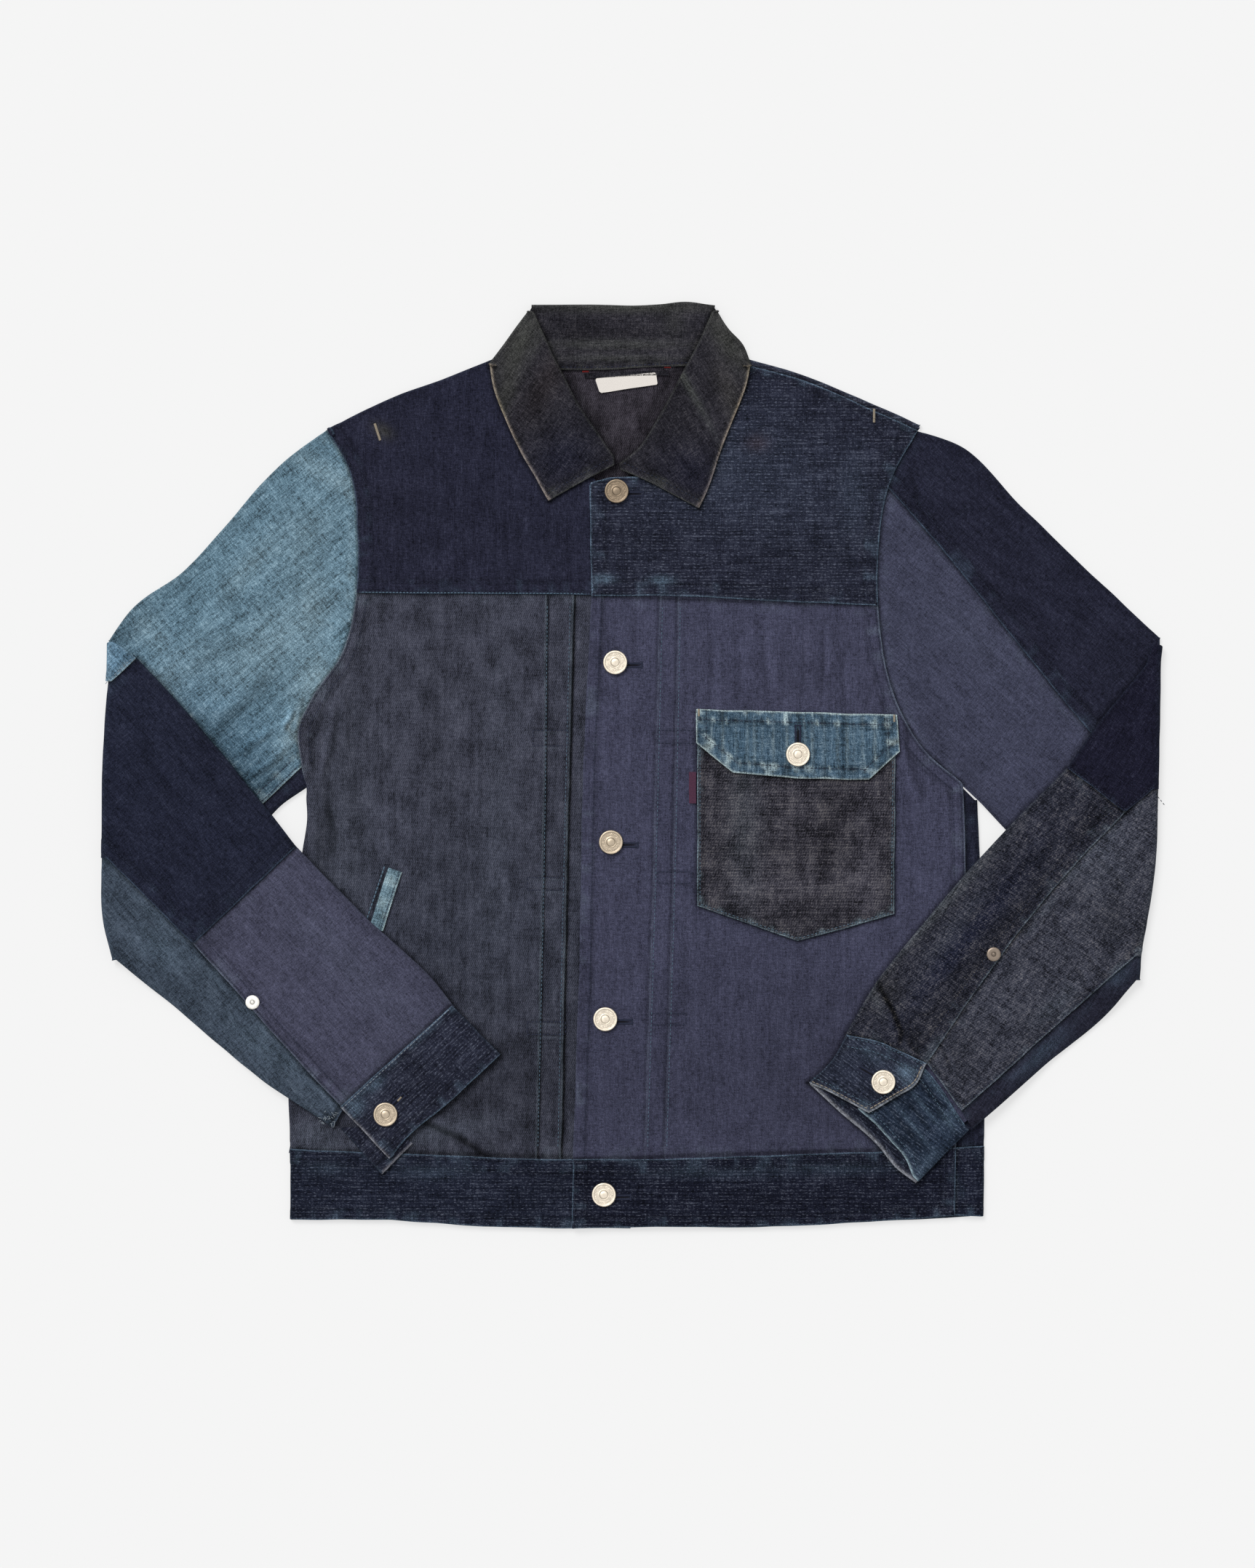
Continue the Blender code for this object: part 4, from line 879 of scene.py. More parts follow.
# ---- materials --------------------------------------------------------------------------------------
class Nodes:
    """A material's nodes, made and joined by short calls."""
    def __init__(self, name):
        self.material = bpy.data.materials.new(name)
        self.material.use_nodes = True
        self.tree = self.material.node_tree
        self.shader = self.tree.nodes["Principled BSDF"]

    def add(self, kind, inputs=(), **settings):
        node = self.tree.nodes.new("ShaderNode" + kind)
        for key, value in settings.items():
            setattr(node, key, value)
        for key, value in dict(inputs).items():
            self.put(node.inputs[key], value)
        return node

    def put(self, socket, value):
        if isinstance(value, bpy.types.NodeSocket):
            self.tree.links.new(value, socket)
        else:
            socket.default_value = value

    def math(self, operation, a, b=0.0, c=0.0, clamp=False):
        return self.add("Math", {0: a, 1: b, 2: c}, operation=operation, use_clamp=clamp).outputs[0]

    def fma(self, a, b, c):
        """a times b plus c."""
        return self.math("MULTIPLY_ADD", a, b, c)

    def surface(self, inputs, bump=None, bump_strength=0.0, bump_mm=0.0):
        """The finished material, with these inputs of its shader and a bump of this strength and height."""
        for key, value in inputs.items():
            self.put(self.shader.inputs[key], value)
        if bump is not None:
            self.put(self.shader.inputs["Normal"], self.add("Bump", {
                "Height": bump, "Strength": bump_strength, "Distance": bump_mm * MM}).outputs[0])
        return self.material

    def placed(self, coordinates, size, turn=0.0):
        """Coordinates in metres turned by an angle and counted in cells of size (mm across, mm along)."""
        turned = self.add("Mapping", {"Vector": coordinates, "Rotation": (0, 0, radians(turn))})
        return self.add("Mapping", {"Vector": turned.outputs[0],
                                    "Scale": (1 / (size[0] * MM), 1 / (size[1] * MM), 1.0)}).outputs[0]

    def noise(self, coordinates, size, turn=0.0, detail=2.0):
        """Noise from about -1 to 1 whose lumps have this size in mm."""
        raw = self.add("TexNoise", {"Vector": self.placed(coordinates, size, turn), "Scale": 1.0,
                                    "Detail": detail}, noise_dimensions="2D").outputs[0]
        return self.fma(raw, 3.2, -1.6)

    def mix(self, factor, a, b, blend="MIX"):
        node = self.add("Mix", data_type="RGBA", blend_type=blend, clamp_factor=True)
        for socket, value in ((node.inputs[0], factor), (node.inputs[6], a), (node.inputs[7], b)):
            self.put(socket, value if isinstance(value, (bpy.types.NodeSocket, float)) else (*value, 1.0))
        return node.outputs[2]


def denim(name, base, worn, yarn, twill, streak, slub, speck, cloud, rows=0.0, zigzag=0.0, pitch=1.0):
    """Washed denim: warp streaks, weft slubs, rows of dashes, twill lines, flecks and clouds on its
    colour, flecks of its undyed yarn, and the pale yarn that its paint's alpha lays bare."""
    n = Nodes(name)
    weave = n.add("UVMap", uv_map="weave").outputs[0]
    place = n.add("SeparateXYZ", {0: weave}).outputs
    paint = n.add("Attribute", attribute_name="paint", attribute_type="GEOMETRY")
    fine = n.noise(weave, (0.55, 0.75), 12.0, 0.0)
    flecks = n.fma(n.noise(weave, (1.2, 3.8), 0.0, 1.0), 0.8, fine)
    flecks = n.fma(n.noise(weave, (3.8, 1.2), 0.0, 1.0), 0.8, flecks)
    bend = n.math("SINE", n.math("MULTIPLY", place[1], 2 * pi / 0.007))
    bend = n.fma(n.noise(weave, (5.0, 5.0)), 0.9, n.math("MULTIPLY", bend, zigzag))
    lines = n.math("SINE", n.fma(n.add("SeparateXYZ", {
        0: n.placed(weave, (pitch, pitch), 28.0)}).outputs[0], 2 * pi, bend))
    warp = n.noise(weave, (1.0, 9.0), 0.0, 2.0)
    wide_warp = n.noise(weave, (4.0, 60.0), 0.0, 2.0)
    row = n.math("SINE", n.fma(place[1], 2 * pi / 0.0022, n.noise(weave, (16.0, 6.0))))
    dash = n.fma(row, rows, n.noise(weave, (2.2, 0.8), 0.0, 1.0))
    dash = n.math("MULTIPLY", n.math("MAXIMUM", n.math("SUBTRACT", dash, 0.30), 0.0), 1.8)
    dash = n.fma(n.noise(weave, (30.0, 2.0), 0.0, 2.0), 0.50, dash)
    patch = n.noise(weave, (13.0, 19.0), 0.0, 4.0)
    total = n.math("MULTIPLY", flecks, speck)
    for part, amount in ((lines, twill), (warp, streak), (wide_warp, streak), (dash, slub), (patch, cloud)):
        total = n.fma(part, amount, total)
    gain = n.math("MAXIMUM", n.fma(total, 0.85, 1.0), 0.2)
    # the paint's colour: the pieces' tints, fades and frayed beige, and painted shade and highlights
    dyed = n.mix(1.0, n.mix(1.0, base, paint.outputs["Color"], "MULTIPLY"), gain, "MULTIPLY")
    flecked = n.math("MULTIPLY", n.math("MAXIMUM", n.math("SUBTRACT", total, 0.3), 0.0), 0.22)
    dyed = n.mix(flecked, dyed, yarn)
    bare = n.math("MULTIPLY", paint.outputs["Alpha"],
                  n.fma(n.math("ADD", fine, warp), 0.35, 0.85), clamp=True)
    pale = n.mix(1.0, worn, n.fma(total, 0.5, 1.0), "MULTIPLY")
    rise = n.fma(fine, 0.5, n.fma(lines, 0.35, n.math("MULTIPLY", warp, 0.3)))
    return n.surface({"Base Color": n.mix(bare, dyed, pale), "Roughness": n.fma(total, -0.06, 0.88),
                      "Specular IOR Level": 0.05}, rise, 0.4, 0.22)


def plain(name, colour, worn, roughness=0.8, size=(0.8, 1.2), amount=0.2):
    """Smaller cloths and threads: a colour with woven flecks and a little bump."""
    n = Nodes(name)
    place = n.add("TexCoord").outputs["Object"]
    flecks = n.noise(place, size)
    gain = n.fma(flecks, amount, 1.0)
    base = n.mix(1.0, colour, gain, "MULTIPLY")
    return n.surface({"Base Color": n.mix(n.math("MULTIPLY", flecks, 0.15, clamp=True), base, worn),
                      "Roughness": n.fma(flecks, 0.05, roughness), "Specular IOR Level": 0.2},
                     flecks, 0.3, 0.2)


def thread_material(thread):
    """A thread's colour, a little paler where it catches the light."""
    return plain("thread_" + thread, THREADS[thread], tuple(min(1.0, 1.6 * v) for v in THREADS[thread]),
                 0.7, (0.25, 0.6), 0.25)


def silver(name, colour, roughness):
    """Worn antique silver: darker in its clouds, brushed a little, brightest where it is rubbed, and
    darkened by its piece's paint: painted shade in its grooves.
    """
    n = Nodes(name)
    place = n.add("TexCoord").outputs["Object"]
    cloudy = n.noise(place, (2.2, 2.2), 0.0, 4.0)
    gain = n.fma(cloudy, 0.14, 1.0)
    paint = n.add("Attribute", attribute_name="paint", attribute_type="GEOMETRY").outputs["Color"]
    return n.surface({"Base Color": n.mix(1.0, n.mix(1.0, colour, gain, "MULTIPLY"), paint, "MULTIPLY"),
                      "Metallic": 1.0, "Roughness": n.fma(cloudy, -0.05, roughness)},
                     n.noise(place, (0.5, 0.5)), 0.10, 0.1)


# Denims: base, worn and yarn colour (linear), then strengths of twill, streaks, slubs, flecks, clouds,
# rows of dashes and zigzag twill, and the twill's pitch in mm
DENIMS = {
    "navy": ((0.017, 0.019, 0.036), (0.085, 0.13, 0.19), (0.10, 0.11, 0.15),
             0.14, 0.22, 0.14, 0.42, 0.26),
    "slub": ((0.016, 0.018, 0.032), (0.12, 0.18, 0.25), (0.18, 0.20, 0.24),
             0.14, 0.18, 1.05, 0.38, 0.36, 0.45),
    "charcoal": ((0.043, 0.046, 0.066), (0.15, 0.19, 0.23), (0.16, 0.16, 0.18),
                 0.36, 0.26, 0.26, 0.36, 0.50, 0.0, 1.2, 1.3),
    "heather": ((0.036, 0.039, 0.056), (0.15, 0.19, 0.23), (0.24, 0.22, 0.19),
                0.24, 0.36, 0.95, 0.60, 0.42, 0.2, 0.5, 1.6),
    "zigzag": ((0.034, 0.033, 0.044), (0.17, 0.24, 0.28), (0.20, 0.185, 0.16),
               0.36, 0.24, 0.80, 0.44, 0.85, 0.6, 1.6, 1.6),
    "slate": ((0.049, 0.051, 0.087), (0.15, 0.19, 0.24), (0.16, 0.16, 0.21),
              0.14, 0.17, 0.14, 0.36, 0.20),
    "sky": ((0.108, 0.186, 0.244), (0.42, 0.52, 0.53), (0.50, 0.54, 0.50),
            0.14, 0.34, 0.56, 0.46, 0.36),
    "teal": ((0.046, 0.062, 0.088), (0.13, 0.20, 0.26), (0.17, 0.19, 0.20),
             0.24, 0.26, 0.30, 0.44, 0.40),
    "black": ((0.023, 0.022, 0.029), (0.085, 0.09, 0.08), (0.17, 0.16, 0.15),
              0.24, 0.24, 0.30, 0.52, 0.46),
}
MATERIALS = {name: denim(name + "_denim", *row) for name, row in DENIMS.items()}
MATERIALS.update({
    "white": plain("label_cotton", (0.80, 0.75, 0.70), (0.9, 0.86, 0.8), 0.8, (0.5, 0.5), 0.05),
    "tape": plain("navy_tape", (0.055, 0.020, 0.042), (0.34, 0.05, 0.12), 0.7, (0.5, 0.9), 0.3),
    # painted shade: the near-black sheet in each buttonhole's slit
    "slit_shade": plain("buttonhole_slit", (0.004, 0.004, 0.007), (0.01, 0.01, 0.02), 0.95),
    "bronze": silver("dark_bronze", (0.29, 0.225, 0.16), 0.5),
    "metal": silver("antique_silver", (0.55, 0.46, 0.35), 0.5),
    "bright": silver("rubbed_silver", (0.84, 0.76, 0.64), 0.62),
    "nickel": silver("nickel", (0.86, 0.84, 0.79), 0.5),
    "copper": silver("dark_copper", (0.26, 0.21, 0.17), 0.4),
})
SLOTS = {name: "denim_" + name for name in ("navy", "slub", "charcoal", "slate", "sky", "teal", "black",
                                            "white")}
SLOTS.update(zigzag="denim_charcoal", heather="denim_charcoal", tape="denim_navy")


# ---- fades, wear and painted light ------------------------------------------------------------------
BOX_ROWS_R = (24, 13, -80, -89, -182, -191)      # rows of the stitched boxes beside each pleat
BOX_ROWS_L = (24, 15, -76, -84, -176, -184)
# Soft patches on a piece: x, y, half width, half height, angle, tone, and pale yarn laid bare if any.
# Most are fades, stains and wear; some, noted below, are painted shade and painted highlights.
FADES_AND_PAINTED_LIGHT = {
    "front_yoke_right": ((-175, 236, 8, 5, -30, (1.9, 1.8, 1.0)), (-120, 180, 60, 20, 0, 0.94)),
    "front_yoke_left": ((60, 215, 90, 40, -20, 1.2, 0.06), (-19, 131, 7, 3, 0, 1.0, 0.55),
        (22, 130, 8, 3, 0, 1.0, 0.5), (89, 227, 8, 6, 0, (1.7, 1.2, 1.0)), (60, 208, 30, 5, 0, 0.82),
        (0, 160, 20, 14, 0, 0.85), (120, 150, 40, 8, 0, 0.86), (158, 190, 10, 30, 0, 1.1, 0.06)),
    # Painted shade on the right front: dark lines along the stitched boxes, along the drape creases at
    # (-217, -46) and (-112, -266), a soft dark band near the armhole at (-196, -20) and a dark line beside
    # the welt.
    "front_panel_right": (*((-58.5, y, 13, 1.0, 0, 0.5) for y in BOX_ROWS_R),
        *((-58.5, y - 2, 12, 0.9, 0, 1.1, 0.12) for y in BOX_ROWS_R),
        (-110, -225, 150, 52, 0, 0.66), (-205, -60, 22, 120, 0, 0.95, 0.05), (-140, 40, 8, 90, 2, 0.88),
        (-95, -40, 10, 110, -2, 1.08, 0.03), (-55, 0, 8, 200, 0, 0.9), (-217, -46, 6, 36, -3, 0.5),
        (-120, -120, 130, 90, 0, (0.88, 0.91, 0.92)), (-196, -20, 7, 60, 4, 0.8),
        (-160, 75, 22, 26, 0, 1.06), (-120, -100, 26, 50, 0, 0.92), (-170, -30, 18, 30, 0, 1.08),
        (-150, -170, 30, 30, 0, 0.9), (-150, -262, 50, 8, 10, 1.2, 0.10),
        (-224, -262, 16, 10, 0, 1.1, 0.12), (-179, -92, 20, 1.5, 71.6, 0.08),
        (-112, -266, 44, 5, -26, 0.7)),
    "welt_right": ((-171, -82, 4, 5, 70, 1.2, 0.35), (-176, -98, 4, 4, 70, 1.1, 0.3)),
    # Painted shade along the stitched boxes.
    "front_panel_left": (*((31, y, 12, 1.0, 0, 0.6) for y in BOX_ROWS_L),
        (100, -220, 170, 70, 0, 0.80), (200, 40, 30, 60, 0, 0.92), (60, 70, 10, 40, 0, 1.05),
        (140, -190, 12, 60, 0, 0.94)),
    "waistband": ((-140, -288, 26, 5, 0, 1.1, 0.16), (60, -289, 50, 4, 0, 1.1, 0.12),
        (150, -286, 40, 4, 0, 1.1, 0.14), (-215, -286, 14, 5, 0, 1.0, 0.14),
        (-60, -300, 30, 16, 0, 0.85), (100, -306, 50, 8, 0, 0.85)),
    "chest_pocket": ((78, -20, 8, 40, 0, 0.72), (138, -50, 7, 50, 0, 0.74), (165, -70, 8, 40, 0, 1.25),
        (100, -60, 60, 5, 0, 0.8), (110, -85, 50, 6, 0, 1.2), (80, -40, 12, 60, 0, 1.15, 0.06),
        (150, -20, 10, 50, 0, 0.82), (105, 5, 60, 8, 0, 0.75), (62, -60, 9, 40, 0, 0.88),
        (120, -110, 60, 8, 0, 0.88)),
    "chest_pocket_flap": (
        *((52 + 7.1 * k + 2 * sin(5 * k), 14, 1.0, 16, 0, 0.9, 0.08 + 0.08 * (k % 3)) for k in range(19)),
        (60, 26, 12, 14, 0, 0.82), (100, 18, 8, 10, 0, 0.75), (136, 14, 8, 10, 0, 0.80)),
    # The first two entries of each: painted shadow beside the leaves' rolled edges.
    "back_yoke": ((-35, 259, 60, 4, -61, 0.5), (24, 266, 60, 4, 59, 0.5)),
    "collar_back": ((-60, 300, 30, 4, -61, 0.6), (48, 300, 30, 4, 59, 0.6),
        (-10, 297, 46, 3.5, 0, 1.1, 0.42), (-10, 287.5, 40, 2.5, 0, 1.0, 0.34),
        (-10, 305, 60, 5, 0, 0.75), (0, 323, 60, 4, 0, (1.2, 1.25, 1.0), 0.22),
        (30, 312, 8, 8, -60, 1.0, 0.2), (-40, 308, 12, 20, 0, 0.8)),
    "collar_leaf_right": ((-48, 215, 30, 24, 30, (0.62, 0.68, 0.92)),
        (-78, 300, 26, 9, 58, (1.35, 1.4, 1.1), 0.30), (-88, 262, 26, 6, 70, (1.25, 1.28, 1.05), 0.16),
        (-60, 270, 30, 10, 60, (1.1, 1.0, 0.9)), (-64, 302, 20, 3, 66, 1.1, 0.20),
        (-66, 250, 8, 20, 20, 0.7), (-40, 198, 14, 3, 26, 1.0, 0.14)),
    "collar_leaf_left": ((42, 205, 30, 24, -30, (0.62, 0.66, 0.88)),
        (68, 300, 26, 8, -55, (1.35, 1.4, 1.1), 0.26), (36, 276, 40, 2.6, -62, (1.0, 1.1, 1.2), 0.55),
        (70, 262, 24, 8, -68, (1.2, 1.16, 1.0), 0.10), (34, 240, 14, 30, -20, 0.8),
        (26, 197, 16, 3, -24, 1.0, 0.12)),
    # The first two entries: painted shadow along the elbow's edge; the third makes it darker towards the
    # bottom.
    "sleeve_right_upper": ((-290, 10, 80, 7, -49, 0.66), (-255, -10, 40, 16, -49, 0.74),
        (-285, 0, 90, 45, -49, (0.76, 0.82, 0.89)), (-338, 92, 16, 10, -49, 1.1, 0.1),
        (-250, 90, 60, 20, 40, 1.05, 0.12), (-300, 20, 70, 18, 40, 0.82),
        (-330, 60, 40, 14, 40, 1.05, 0.10), (-225, 60, 20, 12, 60, 1.1, 0.18),
        (-280, -30, 50, 12, 40, 0.80), (-230, 160, 16, 30, -30, 1.0, 0.08),
        (-320, -60, 60, 22, -48, 0.74), (-214, 205, 8, 30, 60, 1.05, 0.14), (-345, 100, 20, 8, 40, 0.8),
        (-270, 140, 30, 8, 50, 1.0, 0.10), (-240, 20, 18, 7, 60, 1.05, 0.18), (-300, 75, 18, 5, 40, 0.8),
        (-262, 60, 14, 4, 40, 0.82), (-225, 110, 8, 26, 0, 0.92, 0.06)),
    "sleeve_right_lower": ((-200, -140, 60, 14, -45, 1.06, 0.06), (-170, -200, 20, 10, -45, 0.85)),
    "sleeve_right_under": ((-330, -130, 20, 12, -40, 1.1, 0.12), (-260, -200, 30, 8, -40, 1.0, 0.10)),
    "cuff_right": ((-162, -236, 7, 4, 46, 0.5), (-194, -242, 7, 5, 45, 1.0, 0.45),
        (-180, -226, 7, 4, 45, 1.0, 0.4), (-150, -215, 10, 20, 45, 0.85)),
    "sleeve_left_front": ((222, -20, 8, 40, 10, 0.82), (300, -60, 60, 20, -42, 0.84),
        (240, 90, 40, 14, -42, 1.06, 0.03)),
    # Painted light on the triangular fold: a painted highlight at (173, -166), painted shade at (200,
    # -194), and a painted highlight with some wear along the outer fold at (213, -107).
    "sleeve_left_forearm": ((246, -132, 40, 10, 52, 0.72), (228, -116, 36, 7, 52, 1.18, 0.04),
        (173, -166, 12, 3, -65, (1.3, 1.25, 1.15), 0.10), (200, -194, 9, 4, -58, 0.6),
        (213, -107, 62, 3.6, 46.5, (1.7, 1.65, 1.4), 0.12),
        (205, -110, 80, 9, 50, (1.2, 1.12, 1.0), 0.04), (290, -30, 16, 8, 56, 1.3),
        (240, -120, 70, 8, 50, (0.66, 0.72, 0.95)), (180, -160, 12, 12, 0, (1.25, 1.2, 1.0)),
        (212, -180, 16, 7, 50, 0.8), (325, -40, 16, 9, 50, 0.7)),
    # First entry: painted shade along the fold near its upper end.
    "sleeve_left_middle": ((358, -128, 30, 6, 75, 0.70), (330, -60, 20, 30, 0, 1.2, 0.05),
        (280, -150, 50, 12, 56, 1.05), (232, -205, 14, 16, 0, 0.75), (340, -110, 12, 20, 0, 0.7),
        (262, -110, 20, 8, 50, 1.15), (300, -170, 20, 6, 42, 1.1, 0.10)),
    "sleeve_left_under": ((290, -205, 24, 5, 42, 1.1, 0.25), (345, -150, 10, 6, 42, 1.0, 0.2)),
    "cuff_left_ends": ((194, -217, 5, 6, 50, 1.0, 0.7), (216, -229, 14, 1.6, -51, 1.0, 0.34),
        (207, -242, 20, 1.5, -51, 1.0, 0.28), (199, -255, 22, 1.4, -51, 1.0, 0.24),
        (211, -231, 16, 2.0, -51, 0.5), (201, -245, 20, 1.7, -51, 0.6), (192, -254, 22, 1.5, -51, 0.62),
        (224, -252, 8, 3, -51, 1.0, 0.3), (196, -262, 20, 10, -50, 0.72), (180, -235, 20, 5, -20, 0.7),
        (208, -282, 14, 5, 45, 1.0, 0.16), (170, -205, 10, 5, -37, 1.0, 0.15)),
}


# ---- body -------------------------------------------------------------------------------------------
RIGHT_FOREARM = {"grain": -48.0, "layer": "fore_r", "held": "folded"}
LEFT_FOREARM = {"grain": 56.0, "layer": "fore_l", "held": "folded"}
LEFT_CUFF = {"grain": 53.0, "pitch": 1.3, "layer": "fore_l", "held": "folded", "thread": "blue",
             "fades_and_light_of": "cuff_left_ends"}
PAST_LIP = EDGE_RISE / 2 + LIP + SEAM        # a wall between two rolled edges stays this far inside them
PAST_FOLD = FOREARM_REST + 1.4               # what lies inside a fold stays this far from it
YOKE_SEAM_R = ((-194, 121), (-60, 120), (14, 120))
YOKE_SEAM_L = ((-28, 119), (30, 119), (175, 112))
WAIST_L = ((-41, -279), (24, -279), (174, -274), (230, -271))


def backs():
    """Back pieces, on the floor: they show from below, and the yoke's inside through the neck."""
    far = 240.0
    cloth("back_yoke", "charcoal",
          (((-205, 230), (-90, 279), (-60, 281), (44, 284), (78, 278), (194, 230)),
           ((194, 230), (178, 196), (171, 150)), ((-192, 150), (171, 150)),
           ((-205, 230), (-195.4, 200), (-192, 150))), level(0.0), "butt butt fell butt",
          tint=(0.80, 0.66, 0.60), pitch=2.4, down=True)
    cloth("back_body", "navy",
          (((-230, -18), (-221, -10), (-216, 45), (-193, 80), (-186, 150), (171, 150), (171, 112),
            (174, 76), (184, 40), (200, 11), (222, -14), (236, -28)),
           ((236, -28), (240, -80), (far, -271)), ((-241, -272), (far, -271)), "side_r"), level(0.0),
          insets={"left": 3.5}, pitch=4.0, down=True)
    cloth("back_waistband", "slub",
          (((-241, -272), (far, -271)), ((far, -271), (far, -320)),
           ((-241, -322), (-170, -322), (-100, -327), (97, -327), (far, -320)),
           ((-241, -272), (-241, -322))), level(0.0), "fell butt hem butt", tint=0.72,
          insets={"left": 3.5}, pitch=4.0, down=True)


def fronts():
    """Yokes, fronts with their pleats, and the side strip."""
    cloth("front_yoke_right", "navy",
          ("shoulder_r", joined("neck_r", ((-20, 198), (14, 196), (14, 120))), YOKE_SEAM_R,
           between("armhole_r", 237, 121)), right_front_top, "floor butt fell fell",
          tint=(1.06, 1.0, 1.0), worn=0.8, rests=("back_body",))
    cloth("front_yoke_left", "slub",
          ("shoulder_seam_l", between("armhole_l", 236, 112), YOKE_SEAM_L,
           joined("neck_l", ((-15, 203), (-29, 199), (-28, 119)))), left_front_top, "lap fell fell fell",
          rests=("back_body",))
    cloth("shoulder_strip_left", "slub",
          ("shoulder_l", ((201.5, 241), (206.5, 236.8)), "shoulder_seam_l", ((80, 288), (80, 283))),
          left_front_top, "floor butt under butt", tint=(1.5, 1.4, 1.3), insets={"bottom": -1.5},
          pitch=2.0)
    armhole = between("armhole_r", 121, -2)
    cloth("front_panel_right", "charcoal",
          (((-194, 121), (14, 120)), "under_front", ((-241, -272), (0, -279)),
           joined(armhole, smooth("side_r") + np.array([EDGE_RISE / 2 - 0.5, 0.0]))), right_front_top,
          "under butt under fell", seam=armhole, wrap=-14.0,
          follow=(("pleat_outer_r", 0.0), ("pleat_edge_r", 0.0), ("pleat_edge_r", PLEAT_STEP)),
          folds=(("pleat_outer_r", 0.0, 0.42, 0.9, 1), ("pleat_edge_r", 0.0, 0.5, 0.95, 1),
                 ("pleat_edge_r", -1.8, 0.0, 0.22, 1)), rests=("back_body",))
    cloth("front_panel_left", "slate",
          (((-28, 119), (175, 112)), joined(between("armhole_l", 112, -14), "side_seam_l"),
           ((-41, -279), (230, -271)), "placket"), left_front_top, "under fell under plain",
          follow=(("pleat_edge_l", -PLEAT_STEP), ("pleat_edge_l", 0.0), ("pleat_outer_l", 0.0)),
          folds=(("pleat_edge_l", 0.0, 0.25, 0.30, -1), ("pleat_outer_l", 0.0, 0.2, 0.42, -1)),
          rests=("front_panel_right", "back_body"))
    cloth("side_panel_left", "navy",
          (((235, -14), (245, -24)), "side_l", ((230, -271), (250, -270)), "side_seam_l"), left_front_top,
          "butt floor under under", tint=0.8, insets={"top": 2.2})


def waistbands():
    """The band at the hem: right, left and its short piece past the left side seam."""
    cloth("waistband_right", "slub",
          (((-241, -272), (-67, -279), (0, -279)), ((0, -279), (0, -328)),
           ((-241, -322), (-170, -322), (-105, -327), (-44, -328), (0, -328)),
           ((-241, -272), (-241, -322))), right_front_top, "fell butt hem floor", tint=(0.66, 0.72, 0.78),
          fades_and_light_of="waistband", worn=0.8, rests=("back_waistband",))
    cloth("waistband_left", "slub",
          (WAIST_L, ((230, -271), (229, -319)), "hem_l", ((-41, -279), (-42, -328))), left_front_top,
          "fell fell hem fell", tint=(0.50, 0.52, 0.60), fades_and_light_of="waistband", worn=0.8,
          rests=("back_waistband",))
    cloth("waistband_side_left", "slub", quad((230, -271), (250, -270), (249, -320), (229, -319)),
          left_front_top, "fell floor hem under", tint=(0.56, 0.60, 0.68))


def pockets():
    """The buttoned chest pocket with its flap and side tab, and the welt of the hand pocket."""
    pocket_top = over(left_front_top)

    def flap_top(x, y):
        on_pocket = ease((37.0 - y) / 9.0)    # down from the flap's seam
        return pocket_top(x, y) + (CLEAR + WALL) * on_pocket

    cloth("chest_pocket", "zigzag",
          (((47, 21), (187, 19)), ((187, 19), (186, -106)), ((47, -100), (118, -125), (186, -106)),
           ((47, 21), (47, -100))), pocket_top, "butt lap lap lap", thread="blue",
          rests=("front_panel_left",))
    cloth("chest_pocket_flap", "sky",
          (((46, 39), (117, 37), (188, 35)), ((188, 35), (190, 9)),
           ((46, 15), (72, -6), (118, -10), (168, -11), (190, 9)), ((46, 39), (46, 15))), flap_top,
          "flap flap flap flap", tint=(0.50, 0.53, 0.60), pitch=1.6,
          rests=("chest_pocket", "front_panel_left"))
    cloth("pocket_tab", "tape", quad((41, -5), (46.5, -5), (46.5, -28), (41, -28)), pocket_top, pitch=1.0,
          rests=("front_panel_left",))
    cloth("welt_right", "sky", quad((-171, -73), (-161.3, -76.2), (-175.3, -118.2), (-185, -115)),
          over(right_front_top), "butt lap butt turned", grain=70.0, tint=(1.12, 1.05, 1.0), pitch=1.2,
          rests=("front_panel_right",))


# ---- collar -----------------------------------------------------------------------------------------
STAND_LOW, STAND_RISE = 2.4, 2.2               # the collar's back, from its seam to its top
LEAF_LOW, ROLL_LIFT, ROLL_WIDE = 5.8, 0.5, 12.0    # the leaves, higher beside the line they roll over


